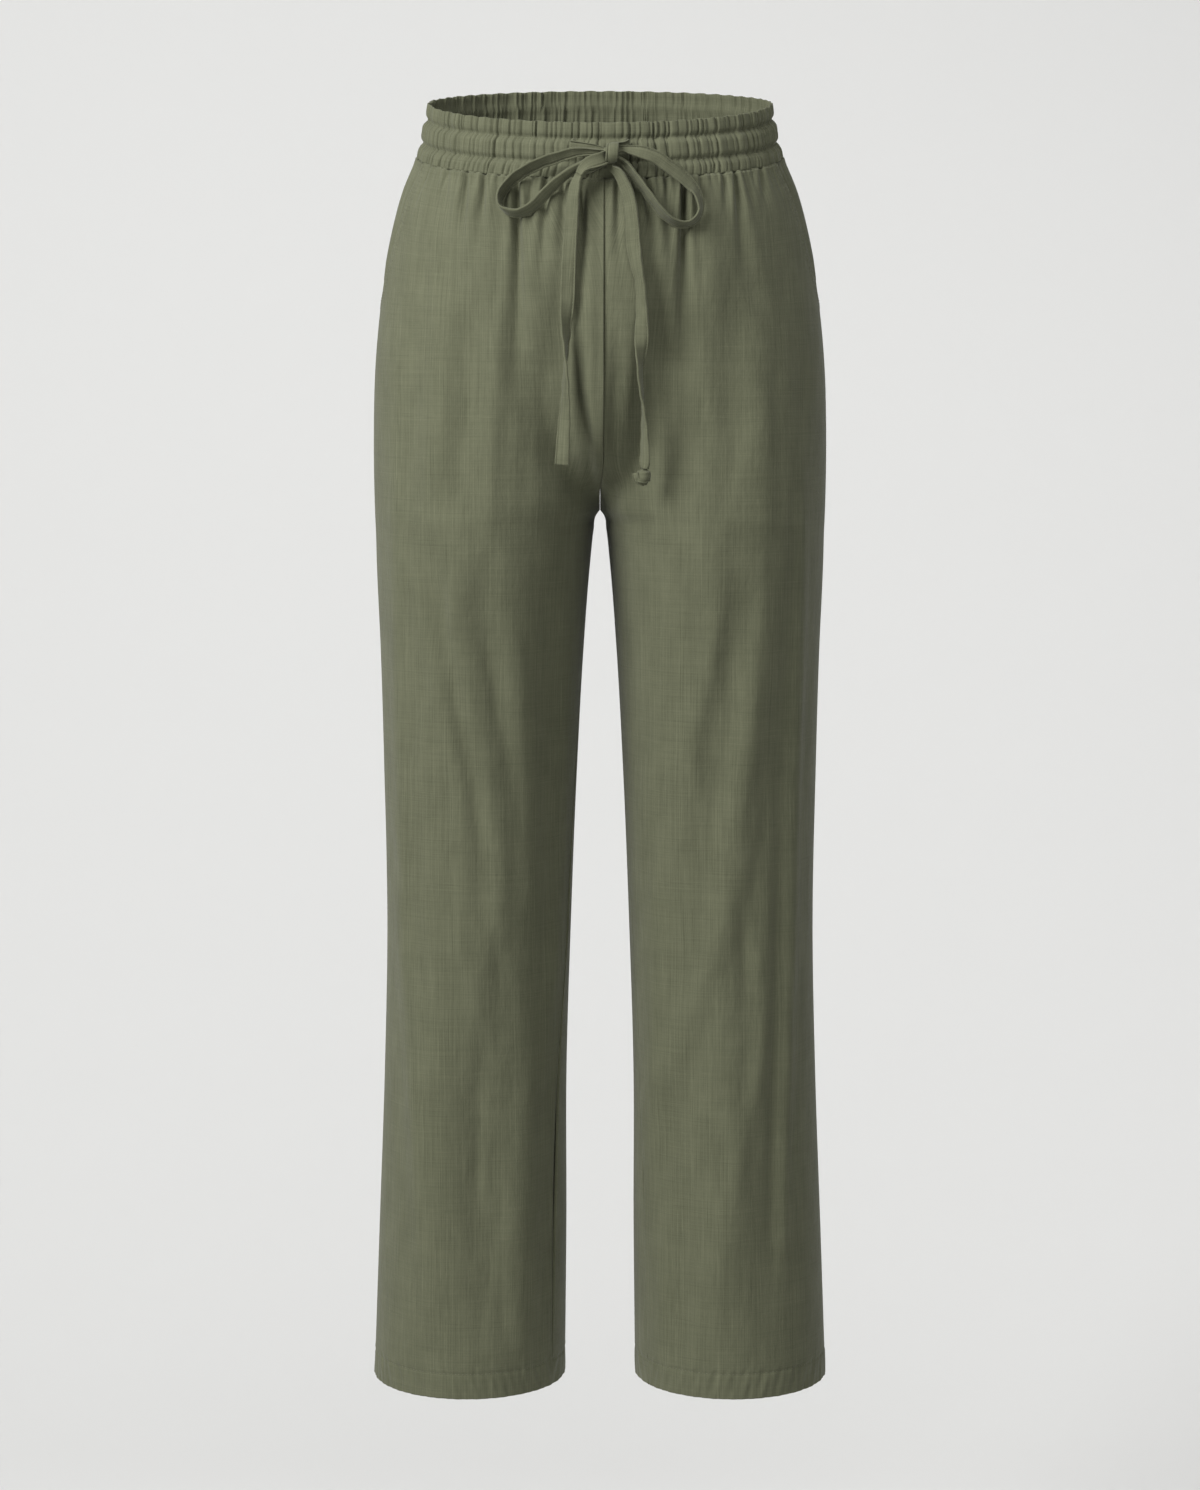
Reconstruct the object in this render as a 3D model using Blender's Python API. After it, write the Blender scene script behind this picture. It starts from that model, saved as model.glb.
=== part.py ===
"""Linen drawstring trousers, filled out as if worn. Metres, +Z up, the wearer faces -Y.

The origin is the centre of the waist, level with the drawstring at the side seams.
Each leg is a front and a back panel, lofted down from the waist seam. A panel's columns run from
the side seam (u = 0) to the centre seam, and below the crotch to the inseam (u = 1). Its rows
are levels, which are heights before the waist is tilted.
"""

from collections import namedtuple

import bmesh
import bpy
import numpy as np
from mathutils import Vector

# Driving sizes
WALL = 0.0016  # a panel of linen with its seam allowances pressed flat
HEM_WALL = 0.0026  # the turned hem, three layers
GAP = 0.0003  # between pieces sewn edge to edge
WAIST_SEAM = -0.0193  # level where the panels join the waistband
HIP = -0.170  # the centre seams start to curve under the body here
CROTCH = -0.2966
HEM_TOP = -0.9790  # the hem's stitch line
HEM = -0.9985
BAND_HEIGHT = 0.0420
RIM_HALF = 0.1345  # the waistband's upper edge, half its width
RIM_FRONT = 0.0880
RIM_BACK = 0.0930
RIM_LEVEL = WAIST_SEAM + BAND_HEIGHT + GAP
TILT_FRONT = 0.0195  # the waist dips at the front
TILT_BACK = 0.0140  # and rises at the back
TILT_END = -0.200  # level where the tilt has run out
LEG_SPLIT_TOP = -0.085  # the section turns from one oval to two between these levels
LEG_SPLIT_END = -0.350

# How finely the pieces are faceted
PANEL_COLUMNS = 12
WAIST_ROWS = 8  # from the waist seam down to the hip, closer together at the top
WAIST_CROWDING = 1.3
CROTCH_ROWS = 8  # from the hip down to the crotch, closer together at the bottom
LEG_TOP_LEVELS = [-0.3035, -0.3200, -0.3420]
LEG_START = -0.3750
LEG_ROWS = 12
HEM_STEP = 0.0010  # the wall thickens to the turned hem over this height
FACING_ROWS = 10
FACING_COLUMNS = 6
BAND_COLUMNS = 56

# Half widths from the centre line and depths from the side seam's plane. inseam is how far
# forward of the leg's innermost point the inseam runs, in degrees.
Section = namedtuple("Section", "level outer inner front back inseam")
SECTIONS = [
    Section(-0.0000, 0.1415, 0.0000, 0.0945, 0.0995, 0),
    Section(-0.0193, 0.1452, 0.0000, 0.0985, 0.1035, 0),
    Section(-0.0460, 0.1553, 0.0000, 0.1060, 0.1120, 0),
    Section(-0.0830, 0.1650, 0.0000, 0.1125, 0.1210, 0),
    Section(-0.1310, 0.1728, 0.0000, 0.1165, 0.1280, 0),
    Section(-0.1780, 0.1775, 0.0000, 0.1180, 0.1315, 0),
    Section(-0.2410, 0.1795, 0.0000, 0.1165, 0.1300, 0),
    Section(-0.2966, 0.1789, 0.0002, 0.1120, 0.1230, 0),
    Section(-0.3000, 0.1788, 0.0028, 0.1117, 0.1225, 1),
    Section(-0.3120, 0.1783, 0.0050, 0.1105, 0.1210, 2),
    Section(-0.3360, 0.1778, 0.0076, 0.1080, 0.1170, 3),
    Section(-0.4080, 0.1751, 0.0132, 0.1000, 0.1060, 6),
    Section(-0.5050, 0.1729, 0.0185, 0.0915, 0.0960, 9),
    Section(-0.6270, 0.1713, 0.0234, 0.0855, 0.0885, 15),
    Section(-0.7500, 0.1742, 0.0271, 0.0830, 0.0850, 22),
    Section(-0.8740, 0.1791, 0.0273, 0.0835, 0.0850, 27),
    Section(-0.9985, 0.1840, 0.0286, 0.0850, 0.0870, 30),
]

# The slanted pocket opening: how far round from the side seam the front panel is cut back.
PocketRow = namedtuple("PocketRow", "level degrees")
POCKET = [
    PocketRow(-0.0193, 17.0),
    PocketRow(-0.0400, 14.2),
    PocketRow(-0.0620, 12.3),
    PocketRow(-0.0840, 10.4),
    PocketRow(-0.1040, 7.6),
    PocketRow(-0.1220, 4.2),
    PocketRow(-0.1360, 0.0),
]
POCKET_LAP = 11.0  # degrees that the facing reaches under the front panel
FACING_END = -0.1520
FACING_UNDER = WALL + 2 * GAP + 0.0004  # how far in the facing lies where the front covers it
FACING_SINK = (-0.110, -0.128)  # levels between which all of it has gone in under the front

# The waistband's section, from its upper edge down. bulge is outwards from the rim's oval, and
# wall is the thickness there: two layers of cloth, drawn together along the stitch lines.
BandRow = namedtuple("BandRow", "drop bulge wall")
BAND = [
    BandRow(0.0000, 0.0002, 0.0016),
    BandRow(0.0035, 0.0008, 0.0024),
    BandRow(0.0090, 0.0012, 0.0024),
    BandRow(0.0122, 0.0014, 0.0018),
    BandRow(0.0155, 0.0038, 0.0032),
    BandRow(0.0210, 0.0050, 0.0040),
    BandRow(0.0265, 0.0056, 0.0034),
    BandRow(0.0295, 0.0056, 0.0018),
    BandRow(0.0335, 0.0080, 0.0030),
    BandRow(0.0385, 0.0098, 0.0028),
    BandRow(0.0420, 0.0105, 0.0018),
]
BAND_PLEAT = 0.0005  # height of the waistband's pleats

# Large folds. Each runs between two points given by x and z, is a ridge where height is over 0
# and a trough where it is under 0, and fades at both ends. The wearer's left is +X.
Fold = namedtuple("Fold", "x_top z_top x_end z_end width height")
FRONT_FOLDS = [
    Fold(-0.064, -0.040, -0.064, -0.210, 0.013, -0.0042),
    Fold(-0.032, -0.100, -0.018, -0.300, 0.016, -0.0045),
    Fold(-0.050, -0.060, -0.048, -0.180, 0.013, 0.0028),
    Fold(0.026, -0.070, 0.022, -0.235, 0.014, 0.0028),
    Fold(0.065, -0.040, 0.066, -0.190, 0.014, -0.0040),
    Fold(0.084, -0.060, 0.082, -0.230, 0.015, 0.0026),
    Fold(-0.130, -0.300, -0.084, -0.620, 0.015, -0.0040),
    Fold(-0.094, -0.300, -0.060, -0.590, 0.014, -0.0035),
    Fold(-0.084, -0.560, -0.083, -0.960, 0.026, -0.0055),
    Fold(-0.122, -0.600, -0.130, -0.960, 0.020, 0.0035),
    Fold(0.108, -0.300, 0.082, -0.560, 0.014, -0.0040),
    Fold(0.086, -0.480, 0.070, -0.720, 0.016, -0.0040),
    Fold(0.127, -0.320, 0.108, -0.600, 0.015, 0.0035),
    Fold(0.140, -0.740, 0.136, -0.985, 0.018, -0.0035),
]
BACK_FOLDS = [
    Fold(-0.090, -0.040, -0.096, -0.200, 0.016, -0.0036),
    Fold(-0.048, -0.060, -0.060, -0.230, 0.016, -0.0036),
    Fold(0.036, -0.040, 0.044, -0.190, 0.015, -0.0038),
    Fold(0.080, -0.050, 0.094, -0.240, 0.016, -0.0036),
    Fold(-0.050, -0.260, -0.110, -0.420, 0.020, -0.0050),
    Fold(0.056, -0.270, 0.116, -0.440, 0.020, -0.0050),
    Fold(-0.120, -0.420, -0.086, -0.760, 0.018, -0.0042),
    Fold(-0.070, -0.600, -0.082, -0.980, 0.022, -0.0045),
    Fold(0.122, -0.430, 0.092, -0.700, 0.018, -0.0042),
    Fold(0.100, -0.620, 0.112, -0.970, 0.022, -0.0045),
]
FOLD_TURN = 0.045  # front and back folds have faded at the side seams, this far from full height

# The drawstring is a flat sewn tape. roll turns its flat side from facing forwards: 90 is edge on.
# share is how much of its width it keeps where it is drawn together at a hole or a knot.
TAPE_WIDTH = 0.0112
TAPE_THICK = 0.0018
TAPE_STEP = 0.006  # distance between the tape's sections
Route = namedtuple("Route", "x y z roll share")
TAPES = {
    "drawstring_lead_right": [
        Route(-0.0228, -0.0929, -0.0142, 0, 0.80),
        Route(-0.0140, -0.0955, -0.0150, 0, 0.70),
        Route(-0.0018, -0.0990, -0.0161, 0, 0.42),
    ],
    "drawstring_lead_left": [
        Route(0.0222, -0.0924, -0.0115, 12, 0.46),
        Route(0.0185, -0.0960, -0.0128, 15, 0.42),
        Route(0.0135, -0.0995, -0.0136, 15, 0.38),
    ],
    "drawstring_loop_right": [
        Route(-0.0062, -0.1040, -0.0185, 20, 0.42),
        Route(-0.0180, -0.1050, -0.0188, 30, 0.70),
        Route(-0.0334, -0.1040, -0.0230, 36, 0.90),
        Route(-0.0450, -0.1022, -0.0268, 40, 0.95),
        Route(-0.0546, -0.1000, -0.0313, 44, 1.0),
        Route(-0.0650, -0.0980, -0.0378, 46, 1.0),
        Route(-0.0725, -0.0965, -0.0450, 52, 1.0),
        Route(-0.0770, -0.0970, -0.0538, 62, 1.0),
        Route(-0.0765, -0.0992, -0.0590, 80, 1.0),
        Route(-0.0720, -0.1012, -0.0632, 104, 1.0),
        Route(-0.0630, -0.1038, -0.0651, 124, 1.0),
        Route(-0.0560, -0.1055, -0.0630, 130, 1.0),
        Route(-0.0494, -0.1068, -0.0583, 134, 1.0),
        Route(-0.0387, -0.1064, -0.0475, 136, 1.0),
        Route(-0.0250, -0.1052, -0.0355, 138, 0.75),
        Route(-0.0108, -0.1035, -0.0268, 150, 0.42),
    ],
    "drawstring_loop_left": [
        Route(0.0168, -0.1035, -0.0172, 30, 0.42),
        Route(0.0250, -0.1035, -0.0180, 24, 0.75),
        Route(0.0350, -0.1030, -0.0200, 18, 0.92),
        Route(0.0440, -0.1015, -0.0237, 14, 0.95),
        Route(0.0516, -0.1000, -0.0290, 14, 0.95),
        Route(0.0600, -0.0985, -0.0350, 22, 1.0),
        Route(0.0675, -0.0972, -0.0418, 36, 1.0),
        Route(0.0730, -0.0970, -0.0480, 54, 1.0),
        Route(0.0758, -0.0978, -0.0550, 66, 1.0),
        Route(0.0764, -0.0990, -0.0630, 70, 1.0),
        Route(0.0740, -0.1008, -0.0685, 70, 1.0),
        Route(0.0690, -0.1025, -0.0722, 68, 1.0),
        Route(0.0623, -0.1045, -0.0733, 66, 1.0),
        Route(0.0560, -0.1062, -0.0713, 64, 1.0),
        Route(0.0501, -0.1075, -0.0673, 62, 1.0),
        Route(0.0410, -0.1075, -0.0568, 60, 1.0),
        Route(0.0310, -0.1058, -0.0430, 56, 0.85),
        Route(0.0154, -0.1035, -0.0245, 45, 0.42),
    ],
    "drawstring_tail_right": [
        Route(-0.0056, -0.1052, -0.0317, -20, 0.45),
        Route(-0.0125, -0.1092, -0.0336, -45, 0.65),
        Route(-0.0165, -0.1112, -0.0385, -52, 0.85),
        Route(-0.0188, -0.1118, -0.0450, -46, 1.0),
        Route(-0.0203, -0.1124, -0.0560, -36, 1.0),
        Route(-0.0213, -0.1138, -0.0690, -28, 1.0),
        Route(-0.0230, -0.1155, -0.0910, -16, 1.0),
        Route(-0.0241, -0.1170, -0.1130, 0, 1.0),
        Route(-0.0248, -0.1182, -0.1310, 8, 1.0),
        Route(-0.0261, -0.1190, -0.1458, 40, 1.0),
        Route(-0.0263, -0.1192, -0.1610, 66, 1.0),
        Route(-0.0263, -0.1192, -0.1760, 88, 1.0),
        Route(-0.0264, -0.1190, -0.1880, 106, 1.0),
        Route(-0.0266, -0.1185, -0.2010, 118, 1.0),
        Route(-0.0270, -0.1178, -0.2160, 134, 1.0),
        Route(-0.0280, -0.1168, -0.2340, 150, 1.0),
        Route(-0.0292, -0.1155, -0.2560, 168, 1.0),
    ],
    "drawstring_tail_left": [
        Route(0.0086, -0.1042, -0.0303, -25, 0.45),
        Route(0.0135, -0.1062, -0.0345, -38, 0.75),
        Route(0.0185, -0.1080, -0.0438, -38, 1.0),
        Route(0.0222, -0.1092, -0.0540, -34, 1.0),
        Route(0.0242, -0.1115, -0.0680, -28, 1.0),
        Route(0.0256, -0.1155, -0.0900, -14, 1.0),
        Route(0.0278, -0.1188, -0.1040, -38, 1.0),
        Route(0.0305, -0.1206, -0.1170, -52, 1.0),
        Route(0.0316, -0.1210, -0.1310, -44, 1.0),
        Route(0.0320, -0.1208, -0.1460, -30, 1.0),
        Route(0.0316, -0.1206, -0.1610, 4, 1.0),
        Route(0.0307, -0.1206, -0.1730, 50, 1.0),
        Route(0.0304, -0.1204, -0.1850, 68, 1.0),
        Route(0.0315, -0.1200, -0.1980, 74, 1.0),
        Route(0.0330, -0.1192, -0.2130, 92, 1.0),
        Route(0.0338, -0.1182, -0.2270, 108, 1.0),
        Route(0.0341, -0.1172, -0.2410, 118, 1.0),
        Route(0.0340, -0.1160, -0.2560, 130, 0.85),
        Route(0.0338, -0.1156, -0.2590, 132, 0.6),
    ],
}
# Knots are plain rounded bodies: centre, size and lean in degrees.
Knot = namedtuple("Knot", "x y z wide deep high lean")
KNOTS = {
    "drawstring_knot": Knot(0.0035, -0.1025, -0.0235, 0.0250, 0.0120, 0.0150, -20),
    "drawstring_end_knot": Knot(0.0330, -0.1155, -0.2655, 0.0145, 0.0105, 0.0125, 12),
}

LINEN = (0.150, 0.163, 0.104)
LINEN_LIGHT = (0.190, 0.204, 0.135)
LINEN_INSIDE = (0.125, 0.137, 0.088)


def smoothstep(start, end, value):
    """0 at start, 1 at end, level at both."""
    t = np.clip((value - start) / (end - start), 0, 1)
    return t * t * (3 - 2 * t)


def along(table, key, column, value):
    """A table's column at these values of its key column, on a smooth curve through its rows."""
    rows = sorted(table, key=lambda row: getattr(row, key))
    x = np.array([getattr(row, key) for row in rows])
    y = np.array([getattr(row, column) for row in rows])
    slope = np.gradient(y, x)
    i = np.clip(np.searchsorted(x, value) - 1, 0, len(x) - 2)
    step = x[i + 1] - x[i]
    t = np.clip((value - x[i]) / step, 0, 1)
    ends = (1 + 2 * t) * (1 - t) ** 2 * y[i] + t * t * (3 - 2 * t) * y[i + 1]
    return ends + step * (t * (1 - t) ** 2 * slope[i] + t * t * (t - 1) * slope[i + 1])


def body_point(face, u, level):
    """A point of the left half's smooth outer surface, without folds."""
    other = "back" if face == "front" else "front"
    forward = -1 if face == "front" else 1
    half = along(SECTIONS, "level", "outer", level)
    inner = along(SECTIONS, "level", "inner", level)
    depth = along(SECTIONS, "level", face, level)
    behind = along(SECTIONS, "level", other, level)
    # one oval round both hips
    turn = np.pi / 2 * u
    hip_x = half * np.cos(turn)
    hip_y = forward * depth * np.sin(turn)
    # one oval round the leg, out to the inseam
    drift = np.radians(along(SECTIONS, "level", "inseam", level))
    sweep = (np.pi + forward * drift) * u
    leg_x = (half + inner) / 2 + (half - inner) / 2 * np.cos(sweep)
    leg_y = forward * np.where(np.sin(sweep) > 0, depth, behind) * np.sin(sweep)
    split = smoothstep(LEG_SPLIT_TOP, LEG_SPLIT_END, level)
    seam_split = np.clip((HIP - level) / (HIP - CROTCH), 0, 1) ** 4
    split = split + (seam_split - split) * smoothstep(0.6, 1, u) ** 2
    x = hip_x + (leg_x - hip_x) * split
    y = hip_y + (leg_y - hip_y) * split
    tilt = -TILT_FRONT if face == "front" else TILT_BACK
    z = level + tilt * np.sin(turn) * (1 - smoothstep(WAIST_SEAM, TILT_END, level))
    return np.stack([x, y, z], axis=-1)


def edge_share(face, u, level):
    """How much of u half a seam gap takes at this edge of a panel."""
    step = 1e-3
    across = body_point(face, u + step, level) - body_point(face, u - step, level)
    return GAP / 2 / (np.linalg.norm(across, axis=-1) / (2 * step))


def body_normal(face, u, level):
    """The outward direction of the smooth surface."""
    step = 1e-4
    across = body_point(face, u + step, level) - body_point(face, u - step, level)
    up = body_point(face, u, level + step) - body_point(face, u, level - step)
    normal = np.cross(up, across) if face == "front" else np.cross(across, up)
    return normal / np.linalg.norm(normal, axis=-1, keepdims=True)


def fold_height(folds, x, z):
    """How far the folds of one face lift the cloth at x, z."""
    height = np.zeros(np.broadcast(x, z).shape)
    for fold in folds:
        t = np.clip((fold.z_top - z) / (fold.z_top - fold.z_end), 0, 1)
        centre = fold.x_top + (fold.x_end - fold.x_top) * smoothstep(0, 1, t)
        height += fold.height * np.sin(np.pi * t) ** 0.8 * np.exp(-(((x - centre) / fold.width) ** 2))
    return height


def cloth_point(face, side, u, level, out=0.0):
    """A point of a panel's outer surface with its folds, moved out by this much."""
    point = body_point(face, u, level)
    normal = body_normal(face, u, level)
    x, y, z = side * point[..., 0], point[..., 1], point[..., 2]
    folds = FRONT_FOLDS if face == "front" else BACK_FOLDS
    facing = smoothstep(0, FOLD_TURN, np.abs(y)) * smoothstep(WAIST_SEAM, WAIST_SEAM - 0.03, level)
    height = fold_height(folds, x, z) * facing + out
    point = point + normal * height[..., None]
    above = level > CROTCH
    point[..., 0] = np.where(above, np.maximum(point[..., 0], GAP / 2), point[..., 0])
    point[..., 0] *= side
    return point


def add_object(name, mesh, colour, collection):
    """An object for this mesh, with its own plain material."""
    material = bpy.data.materials.new(name)
    material.use_nodes = True
    shader = material.node_tree.nodes["Principled BSDF"]
    shader.inputs["Base Color"].default_value = (*colour, 1)
    shader.inputs["Roughness"].default_value = 0.85
    shader.inputs["Metallic"].default_value = 0
    mesh.materials.append(material)
    made = bpy.data.objects.new(name, mesh)
    collection.objects.link(made)
    return made


def wall_mesh(name, outside, inside, ring=False):
    """A closed wall between two grids of points. A ring's last column joins its first."""
    rows, columns = outside.shape[:2]
    count = rows * columns
    points = np.concatenate([outside.reshape(-1, 3), inside.reshape(-1, 3)])

    def at(layer, row, column):
        return layer * count + row * columns + column % columns

    spans = columns if ring else columns - 1
    faces = []
    for row in range(rows - 1):
        for column in range(spans):
            for layer in (0, 1):
                corners = [
                    at(layer, row, column),
                    at(layer, row, column + 1),
                    at(layer, row + 1, column + 1),
                    at(layer, row + 1, column),
                ]
                faces.append(corners if layer else corners[::-1])
    for row in (0, rows - 1):
        for column in range(spans):
            after = column + 1
            faces.append([at(0, row, column), at(0, row, after), at(1, row, after), at(1, row, column)])
    for column in () if ring else (0, columns - 1):
        for row in range(rows - 1):
            below = row + 1
            faces.append([at(0, row, column), at(1, row, column), at(1, below, column), at(0, below, column)])
    mesh = bpy.data.meshes.new(name)
    mesh.from_pydata([tuple(p) for p in points], [], faces)
    shell = bmesh.new()
    shell.from_mesh(mesh)
    bmesh.ops.recalc_face_normals(shell, faces=shell.faces)
    shell.to_mesh(mesh)
    shell.free()
    mesh.shade_smooth()
    mesh.set_sharp_from_angle(angle=np.radians(40))
    return mesh


def panel_levels():
    """Levels of a panel's rows: close together at the waist, the crotch and the hem."""
    top = WAIST_SEAM - GAP / 2
    waist = top + (HIP - top) * np.linspace(0, 1, WAIST_ROWS) ** WAIST_CROWDING
    crotch = HIP + (CROTCH - HIP) * np.sin(np.linspace(0, np.pi / 2, CROTCH_ROWS))[1:]
    leg = np.linspace(LEG_START, HEM_TOP, LEG_ROWS)
    hem = [HEM_TOP - HEM_STEP, HEM]
    return np.concatenate([waist, crotch, LEG_TOP_LEVELS, leg, hem])


def make_panel(name, face, side, collection):
    """A front or back panel of one leg, from the waist seam to the hem."""
    rows = panel_levels()
    start = edge_share(face, 0, rows)
    if face == "front":
        start = np.maximum(start, along(POCKET, "level", "degrees", rows) / 90)
    end = 1 - edge_share(face, 1, rows)
    u = start[:, None] + (end - start)[:, None] * np.linspace(0, 1, PANEL_COLUMNS + 1)
    level = rows[:, None] * np.ones(PANEL_COLUMNS + 1)
    wall = np.where(level < HEM_TOP, HEM_WALL, WALL)
    outside = cloth_point(face, side, u, level)
    inside = cloth_point(face, side, u, level, -wall)
    return add_object(name, wall_mesh(name, outside, inside), LINEN, collection)


def make_facing(name, side, collection):
    """The pocket's facing: it fills the slanted opening and goes in under the front panel."""
    rows = np.linspace(WAIST_SEAM - GAP / 2, FACING_END, FACING_ROWS)
    opening = along(POCKET, "level", "degrees", rows) / 90
    start = edge_share("front", 0, rows)
    end = opening + POCKET_LAP / 90
    u = start[:, None] + (end - start)[:, None] * np.linspace(0, 1, FACING_COLUMNS + 1)
    level = rows[:, None] * np.ones(FACING_COLUMNS + 1)
    to_opening = smoothstep(0, 1, u / np.maximum(opening, 0.01)[:, None])
    inward = -FACING_UNDER * np.maximum(to_opening, smoothstep(*FACING_SINK, level))
    outside = cloth_point("front", side, u, level, inward)
    inside = cloth_point("front", side, u, level, inward - WALL)
    return add_object(name, wall_mesh(name, outside, inside), LINEN_LIGHT, collection)


def band_point(angle, row, out):
    """A point of the waistband at this angle from the left side seam, forwards first."""
    front = np.sin(angle) > 0
    depth = np.where(front, RIM_FRONT, RIM_BACK)
    tilt = np.where(front, -TILT_FRONT, -TILT_BACK) * np.sin(angle)
    x = (RIM_HALF + out) * np.cos(angle)
    y = -(depth + out) * np.sin(angle)
    z = RIM_LEVEL - row.drop + tilt
    return np.stack([x, y, z], axis=-1)


def make_waistband(collection):
    """The gathered waistband: a frill, the drawstring's casing and a lower row."""
    angle = np.linspace(0, 2 * np.pi, BAND_COLUMNS, endpoint=False)
    pleat = BAND_PLEAT * np.where(np.arange(BAND_COLUMNS) % 2, 1, -1)
    outside = np.array([band_point(angle, row, row.bulge + pleat) for row in BAND])
    inside = np.array([band_point(angle, row, row.bulge + pleat - row.wall) for row in BAND])
    return add_object("waistband", wall_mesh("waistband", outside, inside, ring=True), LINEN, collection)


def smooth_route(points):
    """Evenly spaced stations (x, y, z, roll, share) on a smooth curve through the route's points."""
    rows = np.array(points, dtype=float)
    chord = np.linalg.norm(np.diff(rows[:, :3], axis=0), axis=1)
    place = np.concatenate([[0], np.cumsum(chord)])
    slope = np.gradient(rows, place, axis=0)
    stations = np.linspace(0, place[-1], max(4, round(place[-1] / TAPE_STEP) + 1))
    i = np.clip(np.searchsorted(place, stations) - 1, 0, len(place) - 2)
    step = (place[i + 1] - place[i])[:, None]
    t = (stations - place[i])[:, None] / step
    ends = (1 + 2 * t) * (1 - t) ** 2 * rows[i] + t * t * (3 - 2 * t) * rows[i + 1]
    return ends + step * (t * (1 - t) ** 2 * slope[i] + t * t * (t - 1) * slope[i + 1])


def make_tape(name, points, collection):
    """A stretch of the drawstring: its flat section carried along the route and rolled."""
    stations = smooth_route(points)
    path = [Vector(row[:3]) for row in stations]
    rings = []
    for i, row in enumerate(stations):
        ahead = (path[min(i + 1, len(path) - 1)] - path[max(i - 1, 0)]).normalized()
        across = ahead.cross(Vector((0, -1, 0))).normalized()
        outward = across.cross(ahead)
        roll = np.radians(row[3])
        wide = across * np.cos(roll) + outward * np.sin(roll)
        thick = outward * np.cos(roll) - across * np.sin(roll)
        half = (wide * row[4] * TAPE_WIDTH / 2, thick * TAPE_THICK / 2)
        corners = [(-1, -1), (1, -1), (1, 1), (-1, 1)]
        rings.append([path[i] + half[0] * a + half[1] * b for a, b in corners])
    shell = bmesh.new()
    loops = [[shell.verts.new(p) for p in ring] for ring in rings]
    for first, second in zip(loops, loops[1:]):
        for k in range(4):
            shell.faces.new([first[k], first[(k + 1) % 4], second[(k + 1) % 4], second[k]])
    shell.faces.new(loops[0])
    shell.faces.new(loops[-1])
    bmesh.ops.recalc_face_normals(shell, faces=shell.faces)
    mesh = bpy.data.meshes.new(name)
    shell.to_mesh(mesh)
    shell.free()
    return add_object(name, mesh, LINEN_LIGHT, collection)


def make_knot(name, knot, collection):
    """A knot's outer form: a squashed ball."""
    shell = bmesh.new()
    bmesh.ops.create_uvsphere(shell, u_segments=14, v_segments=8, radius=0.5)
    mesh = bpy.data.meshes.new(name)
    shell.to_mesh(mesh)
    shell.free()
    mesh.shade_smooth()
    made = add_object(name, mesh, LINEN_LIGHT, collection)
    made.location = (knot.x, knot.y, knot.z)
    made.scale = (knot.wide, knot.deep, knot.high)
    made.rotation_euler = (0, np.radians(knot.lean), 0)
    return made


def main():
    for old in list(bpy.data.objects):
        bpy.data.objects.remove(old, do_unlink=True)
    collection = bpy.data.collections.new("linen_drawstring_trousers")
    bpy.context.scene.collection.children.link(collection)
    for side, hand in ((1, "left"), (-1, "right")):
        for face in ("front", "back"):
            make_panel(f"{face}_{hand}", face, side, collection)
        make_facing(f"pocket_facing_{hand}", side, collection)
    make_waistband(collection)
    for name, points in TAPES.items():
        make_tape(name, points, collection)
    for name, knot in KNOTS.items():
        make_knot(name, knot, collection)


main()
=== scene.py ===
import math
from collections import namedtuple

import bmesh
import bpy
import numpy as np
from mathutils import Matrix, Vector


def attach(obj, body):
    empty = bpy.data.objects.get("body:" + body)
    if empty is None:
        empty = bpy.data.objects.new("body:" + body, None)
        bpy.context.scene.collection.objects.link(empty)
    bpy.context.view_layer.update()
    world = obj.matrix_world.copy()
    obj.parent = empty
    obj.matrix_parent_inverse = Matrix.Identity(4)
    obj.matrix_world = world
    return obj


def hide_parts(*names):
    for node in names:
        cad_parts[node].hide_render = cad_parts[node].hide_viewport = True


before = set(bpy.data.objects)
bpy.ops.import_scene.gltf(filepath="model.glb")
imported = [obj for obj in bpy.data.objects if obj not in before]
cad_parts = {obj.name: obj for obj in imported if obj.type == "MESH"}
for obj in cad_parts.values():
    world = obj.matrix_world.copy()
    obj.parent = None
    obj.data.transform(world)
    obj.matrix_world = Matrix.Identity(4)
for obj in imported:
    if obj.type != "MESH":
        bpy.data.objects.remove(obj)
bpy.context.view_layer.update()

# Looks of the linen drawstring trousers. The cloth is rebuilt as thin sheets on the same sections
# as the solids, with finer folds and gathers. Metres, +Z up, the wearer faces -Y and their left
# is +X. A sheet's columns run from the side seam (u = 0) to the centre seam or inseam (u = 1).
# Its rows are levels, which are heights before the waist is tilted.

# ---------------------------------------------------------------- sizes shared with the solids
WAIST_SEAM = -0.0193
HIP = -0.170
CROTCH = -0.2966
HEM_TOP = -0.9790
HEM = -0.9985
GAP = 0.0003
BAND_HEIGHT = 0.0420
RIM_HALF = 0.1345
RIM_FRONT = 0.0880
RIM_BACK = 0.0930
RIM_LEVEL = WAIST_SEAM + BAND_HEIGHT + GAP
TILT_FRONT = 0.0195
TILT_BACK = 0.0140
TILT_END = -0.200
LEG_SPLIT_TOP = -0.085
LEG_SPLIT_END = -0.350
FOLD_TURN = 0.045

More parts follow.
